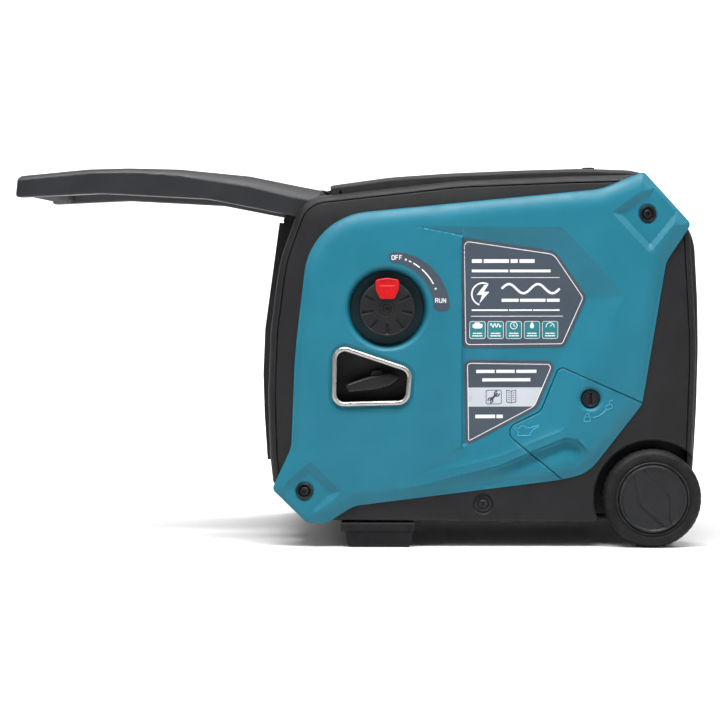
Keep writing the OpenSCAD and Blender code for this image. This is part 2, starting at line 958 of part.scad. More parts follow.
// ---- scene ----
base_tray();
side_frame_left();
side_frame_right();
front_frame();
control_panel();
top_cover();
rear_cover();
exhaust_grille();
side_panel_left();
side_panel_right();
feet();
wheel_axle();
handle_pins();
case_screws();
top_plugs();
recoil_bezel();
recoil_cup();
side_labels();
fuel_valve();
fuel_tank();
crankcase();
cylinder_barrel();  // cylinder
head_cover();
spark_plug();
carburettor();
air_cleaner();
muffler();
stator();
fan_shroud();
inverter_module();
battery();
oil_dipstick();
engine_mounts();
display();
usb_block();
sockets();
signal_ports();
ground_terminal();
handle_rail_left();
handle_rail_right();
handle_grip();
tyre_left();
hub_left();
tyre_right();
hub_right();
dial_knob();
dial_pointer();
recoil_grip();
recoil_pulley();
crankshaft();
rotor();
maintenance_door();
door_lock();
cap_seal();
fuel_cap();
socket_flap_a();
socket_flap_b();
start_button();
eco_button();
reset_button();
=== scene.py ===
import math
import bmesh
import bpy
import numpy as np
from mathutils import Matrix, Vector
from mathutils.geometry import delaunay_2d_cdt


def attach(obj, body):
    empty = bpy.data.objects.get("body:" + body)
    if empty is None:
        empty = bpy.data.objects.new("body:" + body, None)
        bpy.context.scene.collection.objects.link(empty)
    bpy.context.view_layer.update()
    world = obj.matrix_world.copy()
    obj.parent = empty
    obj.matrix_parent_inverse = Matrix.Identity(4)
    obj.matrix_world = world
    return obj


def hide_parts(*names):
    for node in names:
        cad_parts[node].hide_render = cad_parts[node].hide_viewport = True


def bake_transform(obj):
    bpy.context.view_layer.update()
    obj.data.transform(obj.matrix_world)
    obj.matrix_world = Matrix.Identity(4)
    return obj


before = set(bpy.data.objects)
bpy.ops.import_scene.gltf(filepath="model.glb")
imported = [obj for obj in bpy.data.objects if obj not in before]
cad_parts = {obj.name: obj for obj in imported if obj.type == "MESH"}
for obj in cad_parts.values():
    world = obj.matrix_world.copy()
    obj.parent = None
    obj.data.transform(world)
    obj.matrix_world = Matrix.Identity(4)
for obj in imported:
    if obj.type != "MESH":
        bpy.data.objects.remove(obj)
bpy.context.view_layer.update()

# --- numbers, in millimetres
FACE_Y, FAR_FACE_Y, FRAME_Y, COVER_Y = 216.0, 214.5, 202.0, 185.7
WHEEL, ARCH_R = (384.7, 64.5), 76.0
HINGE, BOSS_R = (-50.0, 449.0), 20
DIAL, LOCK = (36.7, 313.8), (302.3, 195.8)
CAP_X = 180.0

# Outlines in the side plane, as (x, z, corner radius)
CASE = [
    (-113, 84, 10), (-66, 36, 14), (300, 33, 8), (437, 60, 8), (443, 259, 400),
    (434, 417, 40), (372, 489, 25), (275, 487, 300), (130, 481, 300), (-73.8, 458.2, 45),
    (-104, 377, 200), (-116, 285, 200), (-119.5, 200, 200), (-117, 120, 60)]
PANEL = [
    (-114.5, 77, 8), (-68.5, 32, 12), (-43, 31.5, 14), (-6.6, 54.4, 40), (262, 88.4, 60),
    (300, 97, 60), (370.7, 188, 25), (400.9, 374, 30), (433.6, 423.8, 8), (370.7, 492.6, 8),
    (314.4, 469.6, 60), (-62.9, 433, 90), (-84, 255, 400), (-89, 131.7, 40)]
DOOR = [(238, 179, 15), (187.2, 154.2, 12), (300, 62, 0), (400, 62, 0), (400, 177.4, 0),
        (262, 238, 8)]
BEZEL = [(-35.7, 186, 16), (65.5, 188.4, 16), (69.5, 235.2, 16), (-34, 269.7, 16)]
LABEL_A = [(134.9, 262, 10), (268.6, 262.9, 9), (298, 328.2, 11), (256.8, 388.4, 20),
           (132.3, 406.8, 11)]
LABEL_B = [(138.9, 133, 6), (233.2, 182.7, 20), (259.4, 245, 9), (136.9, 246.9, 9)]
# Sections of the covers, as (x, z)
TOP_PATH = [(-38, 474.5), (42, 485.5), (121, 490.8), (214, 494.6), (294, 496.8), (362, 494.5),
            (375.5, 488.5)]
REAR_PATH = [(437, 56), (441.5, 112), (445, 180), (446.8, 259), (445.5, 323), (441, 400),
             (433.5, 419), (378.5, 485)]

# --- plane geometry
def rounded(pts, step=7):
    """An outline with its corners rounded, in arcs of at most step degrees a piece."""
    out = []
    for i, c in enumerate(pts):
        a, b, d = (np.array(q[:2], float) for q in (pts[i - 1], c, pts[(i + 1) % len(pts)]))
        r = c[2]
        if r <= 0:
            out.append(tuple(b))
            continue
        u, v = a - b, d - b
        lu, lv = np.linalg.norm(u), np.linalg.norm(v)
        u, v = u / lu, v / lv
        half = math.acos(max(-1, min(1, float(u @ v)))) / 2
        reach = min(r / math.tan(half), lu / 2, lv / 2)
        r = reach * math.tan(half)
        mid = b + (u + v) / np.linalg.norm(u + v) * r / math.sin(half)
        s, e = b + u * reach - mid, b + v * reach - mid
        a0 = math.atan2(s[1], s[0])
        turn = (math.atan2(e[1], e[0]) - a0 + 3 * math.pi) % (2 * math.pi) - math.pi
        n = max(1, math.ceil(abs(math.degrees(turn)) / step))
        out += [tuple(mid + r * np.array((math.cos(a0 + turn * k / n), math.sin(a0 + turn * k / n))))
                for k in range(n + 1)]
    return np.array(out)


def inset(pts, d):
    """The outline moved inwards by d, with its corner radii adjusted."""
    out = []
    for i, c in enumerate(pts):
        a, b, e = (np.array(q[:2], float) for q in (pts[i - 1], c, pts[(i + 1) % len(pts)]))
        e1, e2 = (b - a) / np.linalg.norm(b - a), (e - b) / np.linalg.norm(e - b)
        n1, n2 = np.array((-e1[1], e1[0])), np.array((-e2[1], e2[0]))
        p = b + d * (n1 + n2) / (1 + n1 @ n2)
        bend = e1[0] * e2[1] - e1[1] * e2[0]
        r = c[2] if len(c) > 2 else 0
        out.append((p[0], p[1], 0 if r <= 0 else max(0.5, r - d * np.sign(bend))))
    return out


def circle(c, r, n=72):
    """n points round c; r may differ from point to point."""
    t = np.linspace(0, 2 * math.pi, n, endpoint=False)
    return np.stack([c[0] + r * np.cos(t), c[1] + r * np.sin(t)], 1)


def arc(c, r, a0, a1, n=16):
    """n points of an arc about c, from a0 to a1 degrees."""
    t = np.radians(np.linspace(a0, a1, n))
    return np.stack([c[0] + r * np.cos(t), c[1] + r * np.sin(t)], 1)


def box(x, z, half_x, half_z, r):
    """An upright rectangle's outline, with corner radius r."""
    return [(x - half_x, z - half_z, r), (x + half_x, z - half_z, r),
            (x + half_x, z + half_z, r), (x - half_x, z + half_z, r)]


def radius(P, c):
    """Distance of each point from c."""
    return np.hypot(P[:, 0] - c[0], P[:, 1] - c[1])


def unit(rows):
    """Each row scaled to length 1."""
    return rows / np.maximum(np.linalg.norm(rows, axis=1), 1e-9)[:, None]


def path_dist(path, P, closed=True, reach=1e9):
    """Distance from each point to a path, exact up to reach and reach beyond it."""
    path = np.asarray(path, float)
    best = np.full(len(P), float(reach))
    order = np.argsort(P[:, 0])
    xs = P[order, 0]
    n = len(path)
    for i in range(n if closed else n - 1):
        a, b = path[i], path[(i + 1) % n]
        e = b - a
        q = float(e @ e)
        if q < 1e-12:
            continue
        lo, hi = np.searchsorted(xs, (min(a[0], b[0]) - reach, max(a[0], b[0]) + reach))
        k = order[lo:hi]
        z = P[k, 1]
        k = k[(z > min(a[1], b[1]) - reach) & (z < max(a[1], b[1]) + reach)]
        if not len(k):
            continue
        u, v = P[k, 0] - a[0], P[k, 1] - a[1]
        t = np.minimum(np.maximum((u * e[0] + v * e[1]) / q, 0), 1)
        best[k] = np.minimum(best[k], np.hypot(u - t * e[0], v - t * e[1]))
    return best


def inside(path, P):
    """Which points lie inside a closed path."""
    x, y = P[:, 0], P[:, 1]
    hit = np.zeros(len(P), bool)
    for i in range(len(path)):
        (x0, y0), (x1, y1) = path[i - 1], path[i]
        if y0 == y1:
            continue
        hit ^= ((y0 > y) != (y1 > y)) & (x < (x1 - x0) * (y - y0) / (y1 - y0) + x0)
    return hit


def sdf(path, P, reach=1e9):
    """Distance to a closed path, positive inside it."""
    d = path_dist(path, P, True, reach)
    return np.where(inside(path, P), d, -d)


def within(loop, *holes):
    """A keep() test: inside loop and outside every hole."""
    def keep(P):
        k = inside(loop, P)
        for hole in holes:
            k &= ~inside(hole, P)
        return k
    return keep


def ss(a, b, x):
    """Smooth step from 0 at a to 1 at b."""
    t = np.clip((x - a) / (b - a), 0, 1)
    return t * t * (3 - 2 * t)


def step_down(a, b, x):
    """Smooth step from 1 at a to 0 at b."""
    return 1 - ss(a, b, x)


def ridge(x, width):
    """A bell of height 1 about x = 0."""
    return np.exp(-(x / width) ** 2)


def roll(d, r, depth=None):
    """Rounded edge: how far the surface falls at distance d from it."""
    t = np.clip(1 - d / r, 0, 1)
    return (r if depth is None else depth) * (1 - np.sqrt(np.maximum(1 - t * t, 0)))


def resample(loop, step, closed=True):
    """Points at most step apart along a path."""
    out = []
    for i in range(len(loop) if closed else len(loop) - 1):
        a, b = loop[i], loop[(i + 1) % len(loop)]
        n = max(1, int(math.ceil(np.linalg.norm(b - a) / step)))
        out += [a + (b - a) * k / n for k in range(n)]
    return np.array(out if closed else out + [loop[-1]])


# --- mesh makers
def link(me, name, mat, body, replaces=()):
    """Puts a mesh in the scene as one piece that rides a body."""
    o = bpy.data.objects.new(name, me)
    bpy.context.scene.collection.objects.link(o)
    me.materials.append(M[mat])
    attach(o, body)
    if replaces:
        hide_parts(*replaces)
    return o


def mesh_of(name, verts, faces, normals=None):
    """A smooth mesh from points in millimetres."""
    me = bpy.data.meshes.new(name)
    me.from_pydata((np.asarray(verts, float) * 0.001).tolist(), [], faces)
    me.polygons.foreach_set("use_smooth", [True] * len(me.polygons))
    if normals is not None:
        me.normals_split_custom_set_from_vertices(np.asarray(normals, float).tolist())
    me.update()
    return me


class Soup:
    """Collects sheets with their own normals, then makes one mesh."""
    def __init__(self):
        self.v, self.n, self.f, self.m = [], [], [], []

    def add(self, verts, normals, faces, mat=0):
        base = sum(len(x) for x in self.v)
        self.v.append(np.asarray(verts, float))
        self.n.append(np.asarray(normals, float))
        self.f += [tuple(base + i for i in f) for f in faces]
        self.m += [mat] * len(faces)

    def mesh(self, name):
        me = mesh_of(name, np.concatenate(self.v), self.f, np.concatenate(self.n))
        me.polygons.foreach_set("material_index", self.m)
        return me


def piece(soup, name, mat, body, slot, *replaces):
    """Links all that a soup holds as one piece."""
    return link(soup.mesh(name), name, mat, body, replaces)


def facing(sign, y0, depth):
    """The surface that lies depth() under the plane y0, on the side that sign names."""
    return lambda P: np.stack([P[:, 0], sign * (y0 - depth(P)), P[:, 1]], 1)


def back_at(y):
    return lambda P: np.stack([P[:, 0], np.full(len(P), float(y)), P[:, 1]], 1)


def ring_at(c, r, y, n):
    """A circle about c in the plane y; r may differ from point to point."""
    q = circle(c, r, n)
    return np.stack([q[:, 0], np.full(n, float(y)), q[:, 1]], 1)


def tube_faces(rows, n):
    """Quads that join each ring of n points to the next, over rows spans."""
    return [(i * n + k, i * n + (k + 1) % n, (i + 1) * n + (k + 1) % n, (i + 1) * n + k)
            for i in range(rows) for k in range(n)]


def relief(soup, loops, keep, surf, out, back=None, coarse=7.0, fine=1.8, tol=0.05, rim=(0.7, 2.0),
           edge_step=3.0):
    """Meshes the part of a plane that keep() holds, bent to surf(), with a skirt to back()."""
    out = np.array(out, float)
    loops = [resample(np.asarray(l, float), edge_step) for l in loops]
    allp = np.concatenate(loops)
    lo, hi = allp.min(0), allp.max(0)
    def clear(P, reach, gap):
        """The kept points that are farther than gap from every loop."""
        P = P[keep(P)]
        near = np.full(len(P), 1e9)
        for l in loops:
            near = np.minimum(near, path_dist(l, P, True, reach))
        return P[near > gap]

    def grid(step):
        gx = np.arange(lo[0] + step / 2, hi[0], step)
        gy = np.arange(lo[1] + step / 2, hi[1], step * 0.9)
        X, Y = np.meshgrid(gx, gy)
        X[1::2] += step / 2
        return clear(np.stack([X.ravel(), Y.ravel()], 1), step, 0.45 * step)

    def bend(P, e):
        h = lambda a, b: surf(P + np.array((a, b))) @ out
        m = h(0, 0)
        return 1.5 * (abs(h(e, 0) + h(-e, 0) - 2 * m) + abs(h(0, e) + h(0, -e) - 2 * m))

    C, F = grid(coarse), grid(fine)
    pts = [C[bend(C, coarse * 0.5) <= tol * 2] if len(C) else C]
    if len(F):
        pts.append(F[bend(F, fine) > tol])
        mid = grid(fine * 2)
        b = bend(mid, fine * 1.5)
        pts.append(mid[(b > tol * 0.4) & (bend(mid, fine) <= tol)])
    for d in rim:
        ring = []
        for l in loops:
            t = np.roll(l, -1, 0) - np.roll(l, 1, 0)
            n = unit(np.stack([-t[:, 1], t[:, 0]], 1))
            ring += [l + n * d, l - n * d]
        pts.append(clear(np.concatenate(ring), 2 * d, d * 0.8))
    edges, base = [], 0
    for l in loops:
        k = len(l)
        edges += [(base + i, base + (i + 1) % k) for i in range(k)]
        base += k
    P = np.concatenate([allp] + pts)
    vs, _, fs, *_ = delaunay_2d_cdt([Vector(p) for p in P.tolist()], edges, [], 0, 1e-4)
    V = np.array([tuple(v) for v in vs])
    T = np.array([f for f in fs if len(f) == 3])
    T = T[keep(V[T].mean(1))]
    used = np.unique(T)
    remap = np.full(len(V), -1)
    remap[used] = np.arange(len(used))
    V, T = V[used], remap[T]
    S = surf(V)
    e = 0.12
    N = unit(np.cross(surf(V + (e, 0)) - surf(V - (e, 0)), surf(V + (0, e)) - surf(V - (0, e))))
    N[(N @ out) < 0] *= -1
    a, b, c = S[T[:, 0]], S[T[:, 1]], S[T[:, 2]]
    flip = (np.cross(b - a, c - a) * N[T[:, 0]]).sum(1) < 0
    T[flip] = T[flip][:, ::-1]
    soup.add(S, N, T.tolist())
    if back is not None:
        skirt(soup, T, S, back(V))


def skirt(soup, T, S, B):
    """Walls from a sheet's open edges, among its points S, to the matching points B of its back."""
    E = np.concatenate([T[:, [0, 1]], T[:, [1, 2]], T[:, [2, 0]]])
    _, idx, cnt = np.unique(np.sort(E, 1), axis=0, return_index=True, return_counts=True)
    E = E[idx[cnt == 1]]
    (p0, q0), (p1, q1) = ((S[e], B[e]) for e in (E[:, 0], E[:, 1]))
    nn = unit(np.cross(q0 - p0, p1 - p0))
    acc = np.zeros_like(S)
    for k in (0, 1):
        np.add.at(acc, E[:, k], nn)
    acc = unit(acc)
    n0, n1 = (np.where((acc[e] * nn).sum(1)[:, None] < 0.8, nn, acc[e]) for e in (E[:, 0], E[:, 1]))
    k = len(E)
    quads = [(i, i + k, i + 2 * k, i + 3 * k) for i in range(k)]
    soup.add(np.concatenate([p1, p0, q0, q1]), np.concatenate([n1, n0, n0, n1]), quads)


def face(soup, loops, keep, sign, y0, depth, back, out=1, **more):
    """A relief that faces sideways, with its skirt to the plane back."""
    relief(soup, loops, keep, facing(sign, y0, depth), (0, sign * out, 0), back_at(sign * back), **more)


def lathe(soup, profile, centre, axis, seg):
    """Turns [(radius, distance along axis)] about axis through centre."""
    axis = Vector(axis).normalized()
    u = axis.orthogonal().normalized()
    U, W, A, C = (np.array(v) for v in (u, axis.cross(u), axis, centre))
    t = np.linspace(0, 2 * math.pi, seg, endpoint=False)
    ring = np.cos(t)[:, None] * U + np.sin(t)[:, None] * W
    pr = np.array(profile, float)

    def normal(j):
        k = min(max(j, 0), len(pr) - 2)
        e = pr[k + 1] - pr[k]
        e = e / max(np.linalg.norm(e), 1e-9)
        return np.array((e[1], -e[0]))

    for i in range(len(pr) - 1):
        (r0, h0), (r1, h1) = pr[i], pr[i + 1]
        if np.linalg.norm((r1 - r0, h1 - h0)) < 1e-6:
            continue
        own = normal(i)
        na = normal(i - 1) if i and normal(i - 1) @ own > 0.8 else own
        nb = normal(i + 1) if i < len(pr) - 2 and normal(i + 1) @ own > 0.8 else own
        na, nb = (own + na) / np.linalg.norm(own + na), (own + nb) / np.linalg.norm(own + nb)
        v = np.concatenate([C + ring * r0 + A * h0, C + ring * r1 + A * h1])
        n = np.concatenate([ring * na[0] + A * na[1], ring * nb[0] + A * nb[1]])
        f = [(k, (k + 1) % seg, seg + (k + 1) % seg, seg + k) for k in range(seg)]
        soup.add(v, n, f)


def sweep(soup, path, width, height, up, closed=False, mat=0):
    """A soft-edged strip: a five-sided section swept along 3-D points, with up as its normal."""
    path = np.asarray(path, float)
    n = len(path)
    up = np.tile(np.asarray(up, float), (n, 1))
    t = unit((np.roll(path, -1, 0) - np.roll(path, 1, 0)) if closed else np.gradient(path, axis=0))
    s = unit(np.cross(t, up))
    sec = [(-0.5, 0), (-0.42, 0.75), (-0.2, 1), (0.2, 1), (0.42, 0.75), (0.5, 0)]
    nor = [(-1, 0.3), (-0.8, 0.6), (-0.2, 1), (0.2, 1), (0.8, 0.6), (1, 0.3)]
    V = np.concatenate([path + s * a * width + up * b * height for a, b in sec])
    N = np.concatenate([s * a + up * b for a, b in nor])
    N /= np.linalg.norm(N, axis=1)[:, None]
    m = n if closed else n - 1
    f = [(k * n + i, k * n + (i + 1) % n, (k + 1) * n + (i + 1) % n, (k + 1) * n + i)
         for k in range(len(sec) - 1) for i in range(m)]
    if not closed:
        ends = range(len(sec))
        f += [tuple(k * n for k in reversed(ends)), tuple(k * n + n - 1 for k in ends)]
    a, b, c = V[f[0][0]], V[f[0][1]], V[f[0][2]]
    if np.cross(b - a, c - a) @ N[f[0][0]] < 0:
        f = [q[::-1] for q in f]
    soup.add(V, N, f, mat)


# --- materials
DUST = (0.16, 0.155, 0.15)
# Painted shade: dark colours laid into the dial and lock wells and between the far panel's louvres.
WELL_SHADE_TONE, FAR_SHADE_TONE = (0.003, 0.020, 0.024), (0.004, 0.05, 0.07)


def finish(name, base, rough=0.5, metal=0.0, vary=0.12, vary_scale=14, grain=0.2, grain_scale=900,
           wear=0.25, dust=0.0, coat=0.0, spec=0.5, shade=None, brushed=False):
    """A moulded, cast or brushed surface: slow colour drift, fine grain, rubbed edges, settled dust."""
    m = bpy.data.materials.new(name)
    m.use_nodes = True
    tree = m.node_tree
    tree.nodes.clear()

    def make(kind, inputs=(), **settings):
        """A new node, its inputs linked or given; returns its outputs."""
        n = tree.nodes.new("ShaderNode" + kind)
        for key, value in settings.items():
            setattr(n, key, value)
        for key, value in dict(inputs).items():
            if isinstance(value, bpy.types.NodeSocket):
                tree.links.new(value, n.inputs[key])
            else:
                n.inputs[key].default_value = value
        return n.outputs

    def noise(v, scale, detail, rough_=0.55):
        return make("TexNoise", {"Vector": v, "Scale": scale, "Detail": detail,
                                 "Roughness": rough_})["Fac"]

    def ramp(v, a, b, lo=0.0, hi=1.0):
        return make("MapRange", {"Value": v, "From Min": a, "From Max": b,
                                 "To Min": lo, "To Max": hi})[0]

    def mix(fac, a, b):
        a, b = ((*c, 1) if isinstance(c, tuple) else c for c in (a, b))
        return make("Mix", {0: fac, 6: a, 7: b}, data_type="RGBA")[2]

    def tint(k, add=0.0):
        return tuple(min(1, c * k + add) for c in base)

    vec = make("TexCoord")["Object"]
    along = make("Mapping", {"Vector": vec, "Scale": (1, 14, 14)})[0] if brushed else vec
    slow = noise(vec, vary_scale, 4)
    fine = noise(along, grain_scale, 2, 0.6)
    col = mix(ramp(slow, 0.35, 0.65), tint(1 - vary), tint(1 + vary, 0.002))
    col = mix(ramp(fine, 0.62, 0.75, 0, 0.35), col, tint(1.25, 0.004))
    # shade() paints shade into the colour: darker in the wells and between the louvres.
    if shade is not None:
        col = shade(make, vec, col, mix, ramp)
    if wear:
        rub = ramp(make("NewGeometry")["Pointiness"], 0.515, 0.56, 0, wear)
        patchy = ramp(noise(vec, 60, 3), 0.4, 0.6)
        col = mix(make("Math", {0: rub, 1: patchy}, operation="MULTIPLY")[0], col, tint(1.5, 0.03))
    if dust:
        up = make("SeparateXYZ", {0: make("NewGeometry")["Normal"]})[2]
        col = mix(ramp(up, 0.2, 1.0, 0, dust), col, DUST)
    sheen = ramp(noise(vec, 38, 5, 0.65), 0.3, 0.7, max(0.03, rough - 0.07), min(1, rough + 0.09))
    bump = make("Bump", {"Strength": grain, "Distance": 0.0006, "Height": fine})[0]
    skin = make("BsdfPrincipled", {
        "Base Color": col, "Roughness": sheen, "Metallic": metal, "Specular IOR Level": spec,
        "Coat Weight": coat, "Coat Roughness": 0.25, "Normal": bump})[0]
    make("OutputMaterial", {0: skin})
    return m


def well_shade(make, vec, col, mix, ramp):
    """Deeper tone inside the dial well and the lock well, where little light reaches."""
    for (x, z), reach in ((DIAL, 58), (LOCK, 19)):
        off = make("VectorMath", {0: vec, 1: (x * 0.001, 0, z * 0.001)}, operation="SUBTRACT")[0]
        part = make("SeparateXYZ", {0: off})
        flat = make("CombineXYZ", {0: part[0], 2: part[2]})[0]
        dist = make("VectorMath", {0: flat}, operation="LENGTH")["Value"]
        within_reach = ramp(dist, reach * 0.001, (reach - 3) * 0.001)
        sunk = ramp(part[1], -0.2095, -0.199, 0, 0.9)
        both = make("Math", {0: within_reach, 1: sunk}, operation="MULTIPLY")[0]
        col = mix(both, col, WELL_SHADE_TONE)
    return col


def far_shade(make, vec, col, mix, ramp):
    """Painted shade: a deeper tone between the far panel's louvres, where the recesses lie in shade."""
    y = make("SeparateXYZ", {0: vec})[1]
    return mix(ramp(y, 0.2055, 0.200, 0, 0.5), col, FAR_SHADE_TONE)

TEAL = (0.008, 0.160, 0.232)
TEAL_LOOK = dict(spec=0.35, vary=0.05, grain=0.22, grain_scale=1100, wear=0.2)
CASE_LOOK = dict(spec=0.28, vary=0.1, grain_scale=1300)
M = {
    "teal": finish("teal_moulding", TEAL, 0.44, shade=well_shade, **TEAL_LOOK),
    "teal_far": finish("teal_moulding_far", TEAL, 0.44, shade=far_shade, **TEAL_LOOK),
    # A paler teal: the eco button's colour, and a painted highlight on the door's raised marks.
    "pale_teal_and_mark_highlight": finish("pale_teal_moulding_and_mark_highlight", (0.05, 0.30, 0.42), 0.4, grain=0.1, wear=0.3),
    "charcoal": finish("charcoal_moulding", (0.011, 0.011, 0.012), 0.5, grain=0.45, dust=0.12, **CASE_LOOK),
    "charcoal_top": finish("charcoal_cover", (0.013, 0.013, 0.014), 0.52, grain=0.5, dust=0.14, **CASE_LOOK),
    "handle": finish("handle_moulding", (0.018, 0.019, 0.022), 0.44, spec=0.36, vary=0.1, grain=0.3,
                     grain_scale=1200, wear=0.3, dust=0.08),
    "black": finish("black_moulding", (0.009, 0.009, 0.01), 0.42, spec=0.35, grain=0.25,
                    grain_scale=1000, wear=0.3),
    "rubber": finish("black_rubber", (0.008, 0.008, 0.009), 0.72, spec=0.22, vary=0.15, grain=0.4,
                     grain_scale=700, wear=0.35, dust=0.08),
    "tyre": finish("tyre_rubber", (0.007, 0.007, 0.0075), 0.6, spec=0.24, vary=0.2, vary_scale=30,
                   grain=0.35, grain_scale=800, wear=0.5, dust=0.06),
    "hub": finish("hub_moulding", (0.010, 0.010, 0.0115), 0.42, spec=0.36, vary=0.15, grain=0.3,
                  grain_scale=1000, wear=0.5),
    "chrome": finish("satin_chrome", (0.50, 0.48, 0.45), 0.3, 1.0, vary=0.03, vary_scale=20,
                     grain=0.01, grain_scale=300, wear=0),
    "steel": finish("turned_steel", (0.5, 0.5, 0.52), 0.35, 1.0, vary=0.1, grain_scale=500, brushed=True),
    "screw": finish("black_oxide", (0.02, 0.02, 0.022), 0.38, 0.7, vary=0.15, grain=0.15, wear=0.6),
    "sheet": finish("heat_darkened_sheet", (0.17, 0.15, 0.12), 0.55, 0.5, vary=0.3, vary_scale=25, wear=0.4),
    "alloy": finish("cast_alloy", (0.42, 0.43, 0.44), 0.52, 0.9, vary=0.15, grain=0.5,
                    grain_scale=450, wear=0.3),
    "copper": finish("enamelled_copper", (0.45, 0.18, 0.06), 0.35, 0.8, vary=0.25, vary_scale=60,
                     grain=0.4, grain_scale=300, brushed=True),
    "poly": finish("natural_polymer", (0.5, 0.49, 0.43), 0.45, vary=0.1, grain_scale=500),
    "label": finish("label_film", (0.050, 0.067, 0.090), 0.4, vary=0.04, grain=0.06,
                    grain_scale=1500, wear=0),
    "print": finish("white_print", (0.80, 0.81, 0.82), 0.45, vary=0.05, grain=0.05, wear=0),
    "icon": finish("teal_print", (0.015, 0.19, 0.22), 0.42, vary=0.06, grain=0.05, wear=0),
    "silver": finish("silver_print", (0.55, 0.58, 0.62), 0.32, 0.15, vary=0.1, vary_scale=9,
                     grain=0.01, wear=0),
    "red": finish("red_moulding", (0.55, 0.002, 0.005), 0.36, vary=0.08, grain=0.1, wear=0.1, spec=0.35),
    "yellow": finish("yellow_moulding", (0.75, 0.48, 0.02), 0.42, vary=0.08, grain=0.15),
    "display": finish("display_window", (0.01, 0.014, 0.016), 0.12, vary=0.1, grain=0.02, wear=0, coat=0.8),
    "brass": finish("turned_brass", (0.66, 0.46, 0.16), 0.32, 1.0, brushed=True),
    "ceramic": finish("glazed_ceramic", (0.78, 0.77, 0.72), 0.18, vary=0.04, grain=0.04, coat=0.6),
    "rope": finish("braided_cord", (0.10, 0.10, 0.10), 0.8, vary=0.3, vary_scale=300, grain=0.9, wear=0),
}

# The pack's own parts that stay as they are, under the finish that each one gets
NODE_FINISH = {
    "charcoal": ("base_tray", "front_frame"),
    "black": ("control_panel", "recoil_cup", "air_cleaner", "fan_shroud", "battery", "usb_block",
              "sockets", "signal_ports", "fuel_cap", "reset_button"),
    "sheet": ("exhaust_grille", "muffler"),
    "steel": ("wheel_axle", "crankshaft", "rotor"),
    "rubber": ("top_plugs", "engine_mounts", "cap_seal", "socket_flap_a", "socket_flap_b"),
    "alloy": ("fuel_valve", "crankcase", "cylinder", "head_cover", "carburettor", "inverter_module"),
    "poly": ("fuel_tank", "recoil_pulley"), "ceramic": ("spark_plug",), "copper": ("stator",),
    "yellow": ("oil_dipstick",), "display": ("display",), "brass": ("ground_terminal",),
    "red": ("start_button",), "pale_teal_and_mark_highlight": ("eco_button",)}
for key, node in ((key, node) for key, nodes in NODE_FINISH.items() for node in nodes):
    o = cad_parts[node]
    o.data.materials.clear()
    o.data.materials.append(M[key])
    weld = o.modifiers.new("weld", "WELD")
    weld.merge_threshold = 0.00001
    bev = o.modifiers.new("edge", "BEVEL")
    bev.width = 0.0006
    bev.segments = 2
    bev.limit_method = "ANGLE"
    bev.angle_limit = math.radians(40)
    bev.harden_normals = True

# --- camera, floor and light
sc = bpy.context.scene


def place(name, data, at, to):
    """An object at a point, its -Z turned to another point."""
    o = bpy.data.objects.new(name, data)
    sc.collection.objects.link(o)
    o.location = at
    o.rotation_euler = (Vector(to) - Vector(at)).to_track_quat("-Z", "Y").to_euler()
    return o


def lamp(name, at, to, size, watts):
    l = bpy.data.lights.new(name, "AREA")
    l.shape = "RECTANGLE"
    l.size, l.size_y = size
    l.energy = watts
    place(name, l, at, to)


def studio_floor():
    """A pale floor that sweeps up into a wall behind the object."""
    bend = np.linspace(0, math.pi / 2, 16)
    line = [(3.0 + 1.5 * math.sin(a), 1.5 - 1.5 * math.cos(a)) for a in bend]
    line = [(-6.0, 0.0)] + line + [(4.5, 5.0)]
    me = bpy.data.meshes.new("floor")
    me.from_pydata([(x, y, z) for y, z in line for x in (-7, 7)], [],
                   [(2 * i, 2 * i + 1, 2 * i + 3, 2 * i + 2) for i in range(len(line) - 1)])
    o = bpy.data.objects.new("floor", me)
    sc.collection.objects.link(o)
    m = bpy.data.materials.new("pale_floor")
    m.use_nodes = True
    skin = m.node_tree.nodes["Principled BSDF"]
    skin.inputs["Base Color"].default_value = (0.8, 0.8, 0.8, 1)
    skin.inputs["Roughness"].default_value = 0.9
    skin.inputs["Specular IOR Level"].default_value = 0.1
    me.materials.append(m)


cam = bpy.data.cameras.new("camera")
cam.lens = 105.2
cam.sensor_width = 36
sc.camera = place("camera", cam, (0.0013, -2.95, 0.3713), (0.0013, -0.216, 0.2469))
studio_floor()
sc.world = bpy.data.worlds.new("studio")
sc.world.use_nodes = True
sky = sc.world.node_tree.nodes["Background"].inputs
sky[0].default_value = (0.93, 0.95, 1.0, 1)
sky[1].default_value = 0.17
sc.view_settings.view_transform = "Standard"
lamp("overhead", (0.0, -1.05, 2.35), (0.0, -0.15, 0.22), (2.2, 0.5), 86)
lamp("left_high", (-2.0, -1.9, 1.7), (0, -0.2, 0.25), (0.7, 0.7), 11)
lamp("right_high", (1.9, -1.3, 1.9), (0.3, -0.2, 0.3), (0.7, 0.7), 12)
lamp("rear_rim", (1.4, 1.6, 1.9), (0, 0, 0.3), (1.4, 1.0), 18)
lamp("back_wash", (0, 1.6, 3.2), (0, 4.2, 1.0), (5.0, 0.8), 260)


# --- sculpted side panels
CASE_L, PANEL_L, DOOR_L, BEZEL_L = rounded(CASE, 5), rounded(inset(PANEL, 0.4)), rounded(DOOR), rounded(BEZEL)
# Near panel: the recess round the labels, the tip at its upper left, and the ridge under it
RECESS_O = [(52, 421), (264.6, 421), (347, 331), (311, 252), (285, 200), (277, 170), (268.6, 147.4),
            (235.8, 134.3), (183.4, 111.4), (26, 78), (133.4, 134.3), (133.4, 407)]
RECESS_I = [(135, 136), (135, 405), (257, 388), (298, 328), (268, 262), (259, 245), (233, 183)]
RECESS_TIP = [(62, 421), (133.4, 421), (133.4, 407.5)]
RIDGE = np.array([(26, 78), (55.7, 77.9), (183.4, 111.4), (235.8, 134.3), (268.6, 147.4), (285, 146),
                  (300, 131)], float)
